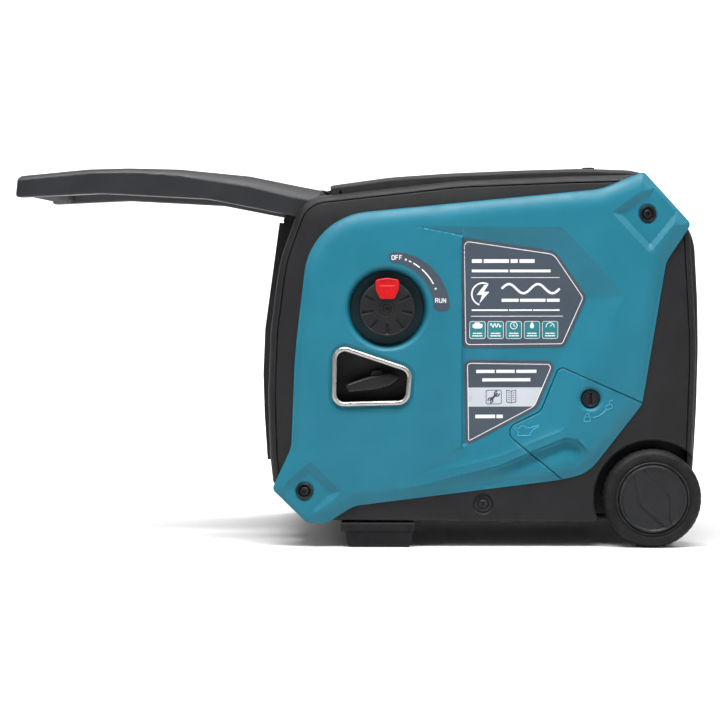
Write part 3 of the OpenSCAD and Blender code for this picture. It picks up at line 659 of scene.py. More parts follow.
# Screw pockets, as an outer and an inner outline
POCKETS = [
    ([(327.5, 438.9), (378.3, 384.8), (416, 431), (450, 470), (410, 510), (377, 473)],
     [(341, 438), (379, 398), (406, 431), (440, 475), (405, 500), (377, 458)]),
    ([(-62.9, 114.6), (-104, 84), (-110, 60), (-70, 20), (-57, 43.5), (-21.7, 74)],
     [(-65, 98), (-88, 80), (-100, 62), (-72, 28), (-60, 50), (-36, 73)])]
# Far panel: the field of louvres
VENT_O = [(8, 348), (232, 348), (250, 330), (250, 168), (232, 150), (8, 150), (-8, 168), (-8, 330)]
VENT_I = [(12, 340), (228, 340), (241, 327), (241, 171), (228, 158), (12, 158), (1, 171), (1, 327)]
LOUVRES = [[(20, a), (220, a), (220, a + 6), (20, a + 6)] for a in range(170, 346, 16)]
SCREWS, BASE_SCREW = [(376, 436.9), (-71.5, 74.4)], (162.8, 57.0)
BASE_D, POCKET_D = 4.4, 10.4
DISH_D, DISH_X = (5.0, 8.5), (134, 298)
WELL_R, LOCK_WELL_R, LOCK_BORE_R = 47.5, 11.8, 11.6


def facet(P, outer, inner):
    """0 outside outer, 1 inside inner, and a flat slope between the two."""
    out = np.zeros(len(P))
    held = inside(outer, P)
    P = P[held]
    a, b = path_dist(outer, P), -sdf(inner, P)
    w = np.where(a <= 0, 0, np.where(b <= 0, 1, a / np.maximum(a + b, 1e-6)))
    k = 0.07  # half width of the rounding at either end of the slope
    w = np.where(w < k, w * w / (2 * k), w - k / 2)
    top = 1 - k / 2
    out[held] = np.where(w > top - k, top - k + (1 - np.exp(-(w - top + k) / k * 1.4)) * k * 0.9, w)
    return out


def dish(x):
    """Depth of the recess, which grows along the panel."""
    return DISH_D[0] + DISH_D[1] * np.clip((x - DISH_X[0]) / (DISH_X[1] - DISH_X[0]), 0, 1)


def ridge_depth(x, z):
    """The ridge below the recess, and the groove that lies under it."""
    slope = np.gradient(RIDGE[:, 1], RIDGE[:, 0])
    s = np.interp(x, RIDGE[:, 0], RIDGE[:, 1]) - z
    s = s / np.sqrt(1 + np.interp(x, RIDGE[:, 0], slope) ** 2)
    crest = 3.4 * ridge(s, np.where(s > 0, 4.5, 8)) * ss(30, 110, x) * step_down(282, 306, x)
    groove = 8.5 * ss(30, 235, x) * step_down(280, 308, x)
    wide = 2.4 + 3.6 * ss(50, 235, x)
    return np.where(s > 0, ss(0, 1, s / wide) * step_down(0, 1, (s - wide) / 48), 0) * groove, crest


def panel_depth(P, near):
    """How far the panel lies under its face plane."""
    x, z = P[:, 0], P[:, 1]
    edge = sdf(PANEL_L, P, 30)
    D = BASE_D + 9.2 * np.clip(1 - edge / 25, 0, 1.2) ** 2.2
    if near:
        D += dish(x) * facet(P, RECESS_O, RECESS_I)
        lip = (421 - z) - (x - 62) * 13.5 / 71.4
        tip = BASE_D + 0.28 * (421 - z) * ss(0, 1.2, -lip)
        D = np.where(inside(RECESS_TIP, P), np.maximum(D, tip), D)
    groove, crest = ridge_depth(x, z)
    D -= crest
    D += groove
    over = D - 11.2 - 9 * ss(4, 22, edge)
    D -= np.where(over > 0, over - 2 * (1 - np.exp(-over / 2)), 0)
    for outer, inner in POCKETS:
        D = np.maximum(D, BASE_D + (POCKET_D - BASE_D) * facet(P, outer, inner))
    for c in SCREWS:
        D += 1.6 * step_down(11.6, 13.4, radius(P, c))
    if near:
        D += roll(radius(P, DIAL) - WELL_R, 10.5, 20)
        D += 1.8 * step_down(0, 5.5, -sdf(BEZEL_L, P, 8))
        D += roll(path_dist(DOOR_L, P, True, 3) - 0.35, 1.5, 1.5)
        D += roll(radius(P, LOCK) - LOCK_WELL_R, 7.5, 8.5)
    else:
        D += 3.0 * facet(P, VENT_O, VENT_I)
    return D


def near_depth(P):
    return panel_depth(P, True)


def left_panel():
    gap, cup = rounded(inset(DOOR, -0.35)), rounded(inset(BEZEL, 3.6))
    rings = [circle(DIAL, r, 96) for r in (58, 55, 52, 49.6, 48.2, 47.4)]
    soup = Soup()
    face(soup, [PANEL_L, gap, cup, RECESS_O, RECESS_I, RECESS_TIP] + rings,
         within(PANEL_L, gap, cup), -1, FACE_Y, near_depth, 199.5)
    piece(soup, "left_panel", "teal", "chassis", "teal_paint", "side_panel_left")


def right_panel():
    soup = Soup()
    face(soup, [PANEL_L, VENT_O, VENT_I] + LOUVRES, within(PANEL_L, *LOUVRES), 1, FAR_FACE_Y,
         lambda P: panel_depth(P, False), 199.5)
    piece(soup, "right_panel", "teal_far", "chassis", "teal_paint", "side_panel_right")


def mark(soup, pts, closed=False):
    """A raised moulded line that follows the panel, in a paler teal that paints its highlight."""
    path = facing(-1, FACE_Y, near_depth)(resample(np.asarray(pts, float), 1.5, closed))
    # Material slot 1: the paler teal, a painted highlight on the raised line.
    sweep(soup, path, 1.2, 0.6, (0, -1, 0), closed, 1)


def padlock(soup, c, tilt, is_open):
    ca, sa = math.cos(math.radians(tilt)), math.sin(math.radians(tilt))
    turned = lambda pts: [(c[0] + ca * u - sa * v, c[1] + sa * u + ca * v) for u, v in pts]
    mark(soup, turned([(-4, -3.4), (4, -3.4), (4, 2.2), (-4, 2.2)]), closed=True)
    hook = [(-2.6, 2.2), (-2.6, 4.6), (-1.6, 6.2), (0, 6.8), (1.6, 6.2), (2.6, 4.6)]
    mark(soup, turned([(u + 5.2, v) for u, v in hook] if is_open else hook + [(2.6, 2.2)]))


def service_door():
    edge = rounded(inset(DOOR, 0.35))
    rings = [circle(LOCK, r, 48) for r in (LOCK_BORE_R, 19.3, 16, 13.6, 12.2)]
    soup = Soup()
    face(soup, [PANEL_L, edge] + rings,
         lambda P: inside(PANEL_L, P) & inside(edge, P) & (radius(P, LOCK) > LOCK_BORE_R),
         -1, FACE_Y, near_depth, 200.5)
    mark(soup, arc(LOCK, 24.5, -82, -33))
    padlock(soup, (LOCK[0] - 4.5, LOCK[1] - 26), 0, False)
    padlock(soup, (LOCK[0] + 23.5, LOCK[1] - 10), 22, True)
    mark(soup, [(208, 147.5), (222, 147.5), (227, 155), (235, 159.5), (234, 161.3), (224, 157.4),
                (218.5, 157.4), (215.5, 160), (211.5, 160), (208.6, 156.4), (204.5, 158.3),
                (203.6, 155.7), (208, 152.8)], closed=True)
    door = piece(soup, "service_door", "teal", "door", "teal_paint", "maintenance_door")
    # Slot 1: the paler teal that paints a highlight on the raised marks.
    door.data.materials.append(M["pale_teal_and_mark_highlight"])


left_panel()
service_door()
right_panel()

# --- side frames
SEAM = 9.6


def frame_depth(P):
    """Crown, rolled edge and seam, all faded out towards the belly."""
    d = sdf(CASE_L, P, 45)
    z = P[:, 1]
    up = ss(40, 90, z)
    F = (3.6 + 4.5 * ss(300, 440, z)) * up * np.clip(1 - d / 42, 0, 1) ** 1.5
    F = F + roll(d, 9, 9.5) * up + roll(d, 3, 3) * (1 - up)
    F += 2.6 * up * ridge(d - SEAM, 0.62)
    F += roll(radius(P, WHEEL) - ARCH_R, 3.5, 3.5)
    return F + 2.6 * step_down(12.2, 14.2, radius(P, BASE_SCREW))


def side_frame(sign, side):
    arch, hole = circle(WHEEL, ARCH_R, 120), rounded(inset(PANEL, 9))
    loops = [rounded(inset(CASE, SEAM + d), 5) for d in (-1.5, -0.75, -0.35, 0, 0.35, 0.75, 1.5)]
    loops += [circle(BASE_SCREW, r, 40) for r in (14.3, 12.0)]
    soup = Soup()
    face(soup, [CASE_L, arch, hole] + loops, within(CASE_L, arch, hole), sign, FRAME_Y,
         frame_depth, 184.5)
    piece(soup, "frame_" + side, "charcoal", "chassis", "charcoal", "side_frame_" + side)


side_frame(-1, "left")
side_frame(1, "right")


# --- covers
class Strip:
    """A cover bent along an open path; P = (length along it, y)."""
    def __init__(self, path, smooth=14):
        pts = np.array(path, float)
        seg = np.linalg.norm(np.diff(pts, axis=0), axis=1)
        s = np.concatenate([[0], np.cumsum(seg)])
        self.len = s[-1]
        self.s = np.arange(0, self.len + 1, 1.0)
        self.s[-1] = self.len
        q = np.stack([np.interp(self.s, s, pts[:, i]) for i in (0, 1)], 1)
        out = np.zeros_like(q)
        for i in range(len(q)):
            w = min(smooth, i, len(q) - 1 - i)
            out[i] = q[i - w:i + w + 1].mean(0)
        self.q = out
        t = np.gradient(out, axis=0)
        t /= np.linalg.norm(t, axis=1)[:, None]
        self.n = np.stack([-t[:, 1], t[:, 0]], 1)

    def at(self, P, h):
        s = P[:, 0]
        x, z = (np.interp(s, self.s, self.q[:, i]) for i in (0, 1))
        nx, nz = (np.interp(s, self.s, self.n[:, i]) for i in (0, 1))
        return np.stack([x + nx * h, P[:, 1], z + nz * h], 1)

    def along(self, i, value):
        v = self.q[:, i]
        k = np.argsort(v)
        return float(np.interp(value, v[k], self.s[k]))


def rect(s0, s1, y0, y1):
    return [(s0, y0), (s1, y0), (s1, y1), (s0, y1)]


top = Strip(TOP_PATH)
CAP_AT, PLUG_S = (top.along(0, CAP_X), 0), top.along(0, 302)


def top_height(P):
    s, y, a = P[:, 0], P[:, 1], np.abs(P[:, 1])
    h = -roll(np.minimum.reduce([COVER_Y - a, s + 2, top.len - s + 2]), 7, 5)
    h -= 1.6 * step_down(0.6, 2.2, np.abs(a - 150 + 14 * ss(200, 330, s)))
    r = radius(P, CAP_AT)
    h -= roll(r - 62, 6, 4.5)
    h -= 1.4 * step_down(0.5, 2.0, np.abs(r - 74))
    return h - 1.2 * step_down(8.6, 10.2, np.hypot(s - PLUG_S, a - 168))


def top_shell():
    """The top cover, with the well round the fuel cap."""
    soup = Soup()
    relief(soup, [rect(0, top.len, -COVER_Y, COVER_Y)] + [circle(CAP_AT, r, 96) for r in (62, 68, 74)],
           lambda P: ((P[:, 0] > 0) & (P[:, 0] < top.len) & (np.abs(P[:, 1]) < COVER_Y)
                      & (radius(P, CAP_AT) > 62)),
           lambda P: top.at(P, top_height(P)), (0, 0, 1),
           lambda P: top.at(P, np.full(len(P), -17.0)), fine=2.2)
    lathe(soup, [(62, 20), (62, 4.5), (58.5, 1), (31, 1), (30.2, 0.2), (30.2, -3)],
          (CAP_X, 0, 469), (0, 0, 1), 96)
    piece(soup, "top_shell", "charcoal_top", "chassis", "charcoal", "top_cover")


rear = Strip(REAR_PATH)
rear.n = -rear.n
REAR_SLOTS = [(rear.along(1, z), rear.along(1, z + 6)) for z in range(180, 390, 14)]
WINDOW = (rear.along(1, 220), rear.along(1, 350))
ARCH_S = rear.along(1, 100)


def rear_height(P):
    s, y = P[:, 0], P[:, 1]
    h = -roll(np.minimum.reduce([COVER_Y - np.abs(y), rear.len - s + 2, s + 2]), 8, 6)
    win = np.maximum(np.abs(y - 70) - 60, np.abs(s - sum(WINDOW) / 2) - (WINDOW[1] - WINDOW[0]) / 2)
    h -= roll(win, 5, 3)
    h -= 1.4 * step_down(0.5, 2.0, np.abs(np.abs(y) - 156))
    a, b = REAR_SLOTS[0][0], REAR_SLOTS[-1][1]
    field = np.maximum(np.abs(y + 75) - 62, np.abs(s - (a + b) / 2) - (b - a) / 2 - 8)
    return h - 2.2 * step_down(0, 5, field)


def rear_keep(P):
    s, y = P[:, 0], P[:, 1]
    k = (s > 0) & (s < rear.len) & (np.abs(y) < COVER_Y) & ~((s < ARCH_S) & (np.abs(y) > 163))
    k &= ~((y > 10) & (y < 130) & (s > WINDOW[0]) & (s < WINDOW[1]))
    for a, b in REAR_SLOTS:
        k &= ~((y > -130) & (y < -20) & (s > a) & (s < b))
    return k


def rear_shell():
    """The rear cover, with its slots and the exhaust's window."""
    loops = [rect(0, rear.len, -COVER_Y, COVER_Y), rect(0, ARCH_S, -COVER_Y, -163),
             rect(0, ARCH_S, 163, COVER_Y), rect(*WINDOW, 10, 130)]
    soup = Soup()
    relief(soup, loops + [rect(a, b, -130, -20) for a, b in REAR_SLOTS],
           rear_keep, lambda P: rear.at(P, rear_height(P)), (1, 0, 0),
           lambda P: rear.at(P, np.full(len(P), -9.0)), fine=2.4)
    piece(soup, "rear_shell", "charcoal_top", "chassis", "charcoal", "rear_cover")


top_shell()
rear_shell()

# --- handle
RAIL = [(-451, 459, 4), (-338, 464.3, 100), (-198, 457, 100), (-86, 435, 100), (-50, 429.5, 0),
        (-50, 468.5, 0), (-77, 473.6, 60), (-143, 487, 100), (-236, 496, 100), (-302, 497.4, 100),
        (-355, 496, 100), (-448, 487, 8)]
RAIL_TOP = [(-448, 487), (-355, 496), (-302, 497.4), (-236, 496), (-143, 487), (-77, 473.6),
            (-50, 469), (-30, 452)]
RAIL_L = rounded(RAIL, 5)
RAIL_OUT_Y, RAIL_IN_Y = 182, 148


def rail_sdf(P):
    return np.maximum(sdf(RAIL_L, P), BOSS_R - radius(P, HINGE))


def rail_depth(P):
    """A bevel along the rail's top, and a small round all along its edge."""
    c = 6.5 + 11 * ss(-330, -70, P[:, 0])
    t = np.clip(1 - path_dist(RAIL_TOP, P, False) / c, 0, 1)
    return 0.75 * c * t ** 1.35 + roll(rail_sdf(P), 2.2, 2.2)


def rail(sign, side):
    soup = Soup()
    loops, keep = [RAIL_L, circle(HINGE, BOSS_R, 64)], lambda P: rail_sdf(P) > 0
    face(soup, loops, keep, sign, RAIL_OUT_Y, rail_depth, 160, fine=2.0)
    face(soup, loops, keep, sign, RAIL_IN_Y, lambda P: -roll(rail_sdf(P), 3, 3), 160, out=-1, fine=2.0)
    piece(soup, "rail_" + side, "handle", "handle", "charcoal", "handle_rail_" + side)


def cross_grip():
    """The cross bar: waisted in the middle, with fine ribs."""
    loop = rounded([(-451, 460, 7), (-418, 461, 9), (-418, 488, 9), (-448, 486, 7)], 10)
    mid = loop.mean(0)
    ys = np.linspace(-RAIL_IN_Y, RAIL_IN_Y, 75)
    waist = 1 - 0.13 * ss(0, 1, (RAIL_IN_Y - np.abs(ys)) / 40)
    ribs = np.where(np.abs(ys) < 96, 0.35 * np.cos(ys / 296 * 2 * math.pi * 37), 0)
    V = np.concatenate([np.stack([mid[0] + (loop[:, 0] - mid[0]) * w, np.full(len(loop), y),
                                  mid[1] + (loop[:, 1] - mid[1]) * w], 1)
                        for w, y in zip(waist + ribs * 0.02, ys)])
    me = mesh_of("cross_grip", V, tube_faces(len(ys) - 1, len(loop)))
    link(me, "cross_grip", "rubber", "handle", ("handle_grip",))


rail(-1, "left")
rail(1, "right")
cross_grip()

# --- wheels
# Tyre section as (radius, 1 where the lugs cut in, distance from the outer face)
TYRE = [
    (46, 0, 2.5), (47.5, 0, 2.2), (49, 0, 2.8), (52, 0, 1.0), (55, 0, 0.4), (58, 0, 0.7),
    (60.6, 0, 2.0), (62.4, 0, 4.2), (63.4, 0, 6.0), (63.9, 1, 7.0), (64.3, 1, 9), (64.5, 1, 12),
    (64.5, 0, 13), (63.6, 0, 13.6), (63.6, 0, 15), (64.5, 0, 15.6), (64.5, 1, 17), (64.5, 1, 22),
    (64.5, 0, 23.4), (63.6, 0, 24), (63.6, 0, 25.4), (64.5, 0, 26), (64.5, 1, 27), (64.3, 1, 30),
    (63.9, 1, 32), (63.4, 0, 33), (62.4, 0, 34.8), (60.6, 0, 37), (58, 0, 38.3), (54, 0, 38.6),
    (49, 0, 37)]
HUB_PROFILE = [(44.3, 4.4), (45.6, 4.0), (46.4, 2.4), (47.4, 2.0), (48, 2.6), (48, 14), (46, 15),
               (18.8, 15), (18, 15.8), (18, 38.5), (6.5, 38.5), (6.5, 10)]
HUB_BAND = np.array(WHEEL) + np.array([
    (-16.7, 40.6), (17.7, 7.9), (20.6, 3), (21.4, -3), (21, -25), (23, -29.5), (27.5, -34.7),
    (22.6, -41.3), (-10, -12.6), (-15, -8), (-17.6, -2), (-20, 11), (-21.5, 18), (-24.9, 34)])
HUBCAP_R = 44.2


def hub_depth(P):
    """The hubcap's face, with a raised band across it."""
    q = HUBCAP_R - radius(P, WHEEL)
    b = sdf(HUB_BAND, P)
    D = 0.5 + roll(q, 1.8, 2.0)
    return D + 2.0 * step_down(-1.3, 1.3, b) * ss(2.2, 4.5, q) + 0.5 * ridge(b + 1.9, 0.7) * ss(2, 4, q)


def tyre(sign, side):
    seg = 180
    lug = np.where(np.arange(seg) % 4 == 0, 0.9, 0.0)
    V = np.concatenate([ring_at(WHEEL, r - lug * c, sign * (211 - y), seg) for r, c, y in TYRE])
    me = mesh_of("tyre", V, tube_faces(len(TYRE) - 1, seg))
    bm = bmesh.new()
    bm.from_mesh(me)
    bmesh.ops.recalc_face_normals(bm, faces=bm.faces)
    for e in bm.edges:
        if e.calc_face_angle(0) > 0.7:
            e.smooth = False
    bm.to_mesh(me)
    bm.free()
    link(me, "tread_" + side, "tyre", "wheel_" + side, ("tyre_" + side,))


def hub(sign, side):
    soup = Soup()
    face(soup, [circle(WHEEL, HUBCAP_R, 120), HUB_BAND], lambda P: radius(P, WHEEL) < HUBCAP_R,
         sign, 212, hub_depth, 206, fine=1.2)
    lathe(soup, HUB_PROFILE, (WHEEL[0], sign * 212, WHEEL[1]), (0, -sign, 0), 120)
    for k in range(6):
        a = math.radians(60 * k + 20)
        spoke = [(WHEEL[0] + math.cos(a) * u, sign * 197, WHEEL[1] + math.sin(a) * u)
                 for u in (18, 26, 34, 45)]
        sweep(soup, spoke, 5, 8, (0, -sign, 0))
    piece(soup, "hubcap_" + side, "hub", "wheel_" + side, "black_plastic", "hub_" + side)


for sign, side in ((-1, "left"), (1, "right")):
    tyre(sign, side)
    hub(sign, side)


# --- fuel dial
KNOB_R = 36.2
POINTER = [(DIAL[0] + u, DIAL[1] + v, r) for u, v, r in (
    (-15.4, 37.2, 3.5), (-15.0, 24, 7), (-9.4, 12.2, 5), (9.4, 12.2, 5), (15.0, 24, 7),
    (15.4, 37.2, 3.5), (0, 40.5, 30))]
POINTER_L = rounded(POINTER, 8)


def knob_depth(P):
    """A dished face with seven slots, two rings and a centre bore."""
    u, v = P[:, 0] - DIAL[0], P[:, 1] - DIAL[1]
    r = np.hypot(u, v)
    D = 0.3 + roll(KNOB_R - r, 2.2, 2.2) + 0.9 * ss(35, 26, r) * ss(0, 12, r)
    for a in range(60, 301, 40):
        c, s = math.sin(math.radians(a)), math.cos(math.radians(a))
        al, ac = u * c + v * s, np.abs(u * s - v * c)
        e = np.maximum(ac - 1.7, np.maximum(19.5 - al, al - 33))
        D = np.maximum(D, np.where(al > 0, 0.3 + 3.2 * step_down(-0.9, 0.9, e), 0))
    D += 1.0 * step_down(0.5, 1.1, np.abs(r - 9.5))
    D -= 0.25 * step_down(0.3, 0.9, np.abs(r - 34.6))
    return D + 3.0 * step_down(5.6, 6.6, r)


def fuel_knob():
    soup = Soup()
    face(soup, [circle(DIAL, KNOB_R, 180)] + [circle(DIAL, r, 60) for r in (6.8, 5.4)],
         lambda P: radius(P, DIAL) < KNOB_R, -1, 213.6, knob_depth, 210.5, fine=1.0, coarse=5)
    seg = 240
    rings = ((KNOB_R, -211.2), (36.6, -210.4), (36.6, -199), (35, -196), (20, -195.2))
    flutes = np.where(np.arange(seg) % 4 < 2, 0.75, 0.0)
    V = np.concatenate([ring_at(DIAL, r - flutes * (r > 36), y, seg) for r, y in rings])
    N = V - np.array((DIAL[0], 0, DIAL[1]))
    N[:, 1] = 0
    soup.add(V, unit(N), [(a, d, c, b) for a, b, c, d in tube_faces(len(rings) - 1, seg)])
    lathe(soup, [(3.2, 0.4), (4.6, 0), (5.0, 0.6), (5.0, 2)], (DIAL[0], -212.6, DIAL[1]), (0, 1, 0), 48)
    piece(soup, "fuel_knob", "black", "fuel_dial", "black_plastic", "dial_knob")


def pointer_depth(P):
    d = sdf(POINTER_L, P)
    u, v = np.abs(P[:, 0] - DIAL[0]), P[:, 1] - DIAL[1]
    D = 0.1 + roll(d, 1.6, 1.6)
    D += 0.9 * step_down(-0.6, 0.6, np.maximum(u - 9.5 + 0.3 * (30 - v), 29.5 - v)) * ss(1.6, 2.6, d)
    return D + 0.8 * step_down(1.0, 1.7, np.hypot(u, v - 24))


def dial_marker():
    soup = Soup()
    face(soup, [POINTER_L], within(POINTER_L), -1, 215.4, pointer_depth, 209, fine=0.9, coarse=4,
         edge_step=1.5)
    piece(soup, "dial_marker", "red", "fuel_dial", "red_plastic", "dial_pointer")


fuel_knob()
dial_marker()

# --- recoil starter
GRIP_AT, GRIP_TILT = (18.3, 216.9), math.radians(10.7)
BOSS_AT, ROPE_AT = (23.6, 224.9), (23.6, 221.9)


def starter_trim():
    hole = rounded(inset(BEZEL, 5.5))
    soup = Soup()
    face(soup, [BEZEL_L, hole], within(BEZEL_L, hole), -1, FACE_Y,
         lambda P: roll(np.minimum(path_dist(BEZEL_L, P), path_dist(hole, P)), 2.4, 2.4), 209,
         fine=0.7, coarse=3, rim=(0.5, 1.2), edge_step=2)
    piece(soup, "starter_trim", "chrome", "chassis", "chrome_trim", "recoil_bezel")


def pull_grip():
    """A boat-shaped bar on a round boss."""
    c, s = math.cos(GRIP_TILT), math.sin(GRIP_TILT)
    boat = [(-37.5, 1, 3), (-34, -7.5, 5), (4, -11.2, 60), (27, -8, 25), (38, 0.5, 4), (27, 8.3, 20),
            (-3, 9.2, 60), (-33, 4.8, 8)]
    loop = rounded([(GRIP_AT[0] + c * u - s * v, GRIP_AT[1] + s * u + c * v, r) for u, v, r in boat], 8)
    soup = Soup()
    for y0, out in ((206, 1), (190, -1)):
        face(soup, [loop], within(loop), -1, y0, lambda P: out * roll(sdf(loop, P), 4.5), 197.5,
             out=out, fine=1.3, coarse=5, edge_step=2)
    lathe(soup, [(0.1, 0), (7, 0.3), (8.1, 1), (8.5, 2.2), (8.5, 15), (6, 17.5), (2.6, 17.5)],
          (BOSS_AT[0], -199.5, BOSS_AT[1]), (0, 1, 0), 48)
    piece(soup, "pull_grip", "black", "starter_grip", "rubber", "recoil_grip")


starter_trim()
pull_grip()


# --- screws and feet
def hex_screw(soup, c, y, sign):
    """Cup washer and socket screw whose floor lies at y."""
    washer = [(11, 0), (11, 2.2), (10.2, 3.0), (8.4, 3.2), (7, 1.2), (5.4, 0.6)]
    screw = [(5.4, 0.2), (5.4, 2.6), (4.8, 3.1), (3.0, 3.1), (2.8, 0.8), (0.05, 0.8)]
    for profile in (washer, screw):
        lathe(soup, profile, (c[0], sign * y, c[1]), (0, sign, 0), 48)


def panel_screws():
    soup = Soup()
    for sign, y in ((-1, FACE_Y), (1, FAR_FACE_Y)):
        for c in SCREWS:
            hex_screw(soup, c, y - POCKET_D - 1.6, sign)
        hex_screw(soup, BASE_SCREW, FRAME_Y - 4.6, sign)
    piece(soup, "panel_screws", "screw", "chassis", "black_steel", "case_screws")


def front_feet():
    """Two blocks, stepped out at the top, with a fine groove under the step."""
    loop = rounded([(-14.4, 0, 5), (67.5, 0, 5), (70.5, 19, 1.5), (73.4, 21, 1.5), (73.4, 32.6, 1),
                    (-23.6, 32.6, 1), (-23.6, 21, 1.5), (-17.4, 19, 1.5)], 12)

    def depth(P):
        z = P[:, 1]
        return roll(sdf(loop, P), 2.4, 2.4) + 1.6 * step_down(19, 21.5, z) + 0.7 * ridge(z - 20.4, 0.8)

    soup = Soup()
    for sign in (-1, 1):
        for y0, out in ((202, 1), (145, -1)):
            face(soup, [loop], within(loop), sign, y0, lambda P: out * depth(P), 172, out=out, fine=1.6)
    piece(soup, "front_feet", "rubber", "chassis", "rubber", "feet")


panel_screws()
front_feet()

# --- lock, pins, rope
LOCK_R = 11.2


def lock_depth(P):
    """A rolled edge, a fine ring and the key's slot."""
    u, v = P[:, 0] - LOCK[0], P[:, 1] - LOCK[1]
    r = np.hypot(u, v)
    D = roll(LOCK_R - r, 1.4, 1.4) + 0.7 * step_down(0.3, 0.9, np.abs(r - 8.8))
    return D + 3.4 * step_down(-0.5, 0.5, np.maximum(np.abs(u) - 1.7, np.abs(v) - 7.2))


def lock_core():
    soup = Soup()
    face(soup, [circle(LOCK, LOCK_R, 60)], lambda P: radius(P, LOCK) < LOCK_R, -1, 208.6,
         lock_depth, 202.5, fine=0.7, coarse=4)
    lathe(soup, [(4, 0), (4, 26), (2.5, 27.5), (0.1, 27.5)], (LOCK[0], -203, LOCK[1]), (0, 1, 0), 32)
    piece(soup, "lock_core", "screw", "door_key", "black_plastic", "door_lock")


def hinge_pins():
    soup = Soup()
    for sign in (-1, 1):
        lathe(soup, [(0.1, 137.2), (9, 137.2), (9.6, 138), (9.6, 140), (6, 140.6), (6, 183.2),
                     (10, 183.4), (10, 185.4), (6, 185.6), (6, 192), (5, 193), (0.1, 193)],
              (HINGE[0], 0, HINGE[1]), (0, sign, 0), 48)
    piece(soup, "hinge_pins", "steel", "chassis", "steel", "handle_pins")


def starter_rope():
    """The rope from the cup to the grip."""
    ys = np.linspace(-168.5, -185, 40)
    V = np.concatenate([ring_at(ROPE_AT, 2.2, y, 20) for y in ys])
    rope = bpy.data.objects.new("starter_rope", mesh_of("starter_rope", V, tube_faces(len(ys) - 1, 20)))
    sc.collection.objects.link(rope)
    rope.data.materials.append(M["rope"])
    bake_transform(rope)


lock_core()
hinge_pins()
starter_rope()


# --- labels
def label_surf(lift):
    """The recess's floor plane, or the panel outside it, raised by the film and by lift."""
    def surf(P):
        D = panel_depth(P, True)
        flat = (P[:, 0] > 128) & (P[:, 1] > 125)
        D = np.where(flat, np.minimum(BASE_D + dish(P[:, 0]), D), D)
        return np.stack([P[:, 0], -FACE_Y + D - 0.4 - lift, P[:, 1]], 1)
    return surf


def film(soup, loop, lift=0.0, skirt_on=False):
    """A filled shape; only the label plates have an edge."""
    loop = np.asarray(loop, float)
    surf = label_surf(lift)
    back = (lambda P: surf(P) + (0, 0.6, 0)) if skirt_on else None
    relief(soup, [loop], within(loop), surf, (0, -1, 0), back, fine=3.5, tol=0.08, rim=(), edge_step=4)


def stroke(soup, pts, width, lift=0.15, closed=False):
    """A printed line of constant width."""
    path = resample(np.asarray(pts, float), 3, closed)
    before, after = np.roll(path, 1, 0), np.roll(path, -1, 0)
    if not closed:
        before[0], after[-1] = 2 * path[0] - path[1], 2 * path[-1] - path[-2]
    e1, e2 = path - before, after - path
    e1 /= np.linalg.norm(e1, axis=1)[:, None]
    e2 /= np.linalg.norm(e2, axis=1)[:, None]
    m = unit(np.stack([-(e1 + e2)[:, 1], (e1 + e2)[:, 0]], 1))
    cosine = np.maximum((m * np.stack([-e1[:, 1], e1[:, 0]], 1)).sum(1), 0.4)
    m *= (width / 2 / cosine)[:, None]
    k = len(path)
    F = [(i, k + i, k + (i + 1) % k, (i + 1) % k) for i in range(k if closed else k - 1)]
    S = label_surf(lift)(np.concatenate([path + m, path - m]))
    soup.add(S, np.tile((0.0, -1.0, 0.0), (2 * k, 1)), F)


def bars(soup, x0, x1, z, h, words):
    """A line of print, as plain bars with word gaps."""
    k = (x1 - x0) / (sum(words) + 0.35 * (len(words) - 1))
    x = x0
    for w in words:
        stroke(soup, [(x, z), (x + w * k, z)], h)
        x += (w + 0.35) * k


def sine(x0, x1, z, amp, n):
    return [(x, z + amp * math.sin((x - x0) / (x1 - x0) * 2 * math.pi * n))
            for x in np.linspace(x0, x1, 16 * n)]


def polar(r, deg):
    """Points about the dial, with deg clockwise from the top."""
    return np.stack([DIAL[0] + r * np.sin(np.radians(deg)), DIAL[1] + r * np.cos(np.radians(deg))], -1)


SCALE_IN = 60.5
DASHES = ((20.0, 21.8, 2.4), (24.4, 27.4, 1.6), (30, 38.5, 1.6), (41.5, 62, 1.6), (66.8, 68.6, 2.4))
LETTERS = {
    "O": [([(0.12, 0), (0.5, 0), (0.62, 0.15), (0.62, 0.85), (0.5, 1), (0.12, 1), (0, 0.85),
            (0, 0.15)], True)],
    "F": [([(0, 0), (0, 1), (0.58, 1)], False), ([(0, 0.52), (0.5, 0.52)], False)],
    "R": [([(0, 0), (0, 1), (0.48, 1), (0.6, 0.88), (0.6, 0.62), (0.48, 0.5), (0, 0.5)], False),
          ([(0.3, 0.5), (0.62, 0)], False)],
    "U": [([(0, 1), (0, 0.15), (0.12, 0), (0.5, 0), (0.62, 0.15), (0.62, 1)], False)],
    "N": [([(0, 0), (0, 1), (0.62, 0), (0.62, 1)], False)]}


def scale_outline():
    """The dial's scale: a band that widens clockwise, with rounded ends."""
    around, across = np.linspace(0, 1, 28), np.linspace(-0.9, 0.9, 7)
    outer = lambda k: 73.5 + 8.5 * k ** 0.8

    def end(at, sign, k):
        r = (SCALE_IN + outer(k)) / 2 + across * (outer(k) - SCALE_IN) / 2
        return polar(r, at + sign * 4 * np.abs(across) ** 3)

    sweep_deg = 6 + 83 * around
    return np.concatenate([polar(np.full(28, SCALE_IN), sweep_deg), end(93, -1, 1),
                           polar(outer(around), sweep_deg)[::-1], end(2, 1, 0)[::-1]])


def dial_print(prints):
    size = 5.4
    for word, a, r in (("OFF", 11, 67.5), ("RUN", 81.5, 70.5)):
        x, z = polar(r, a)
        for i, letter in enumerate(word):
            x0, z0 = x + (i - 1.5) * size * 0.92 + 0.6, z - size / 2
            for pts, closed in LETTERS[letter]:
                stroke(prints, [(x0 + size * u, z0 + size * v) for u, v in pts], 1.0, closed=closed)
    for a0, a1, width in DASHES:
        stroke(prints, polar(68, np.linspace(a0, a1, 9)), width)


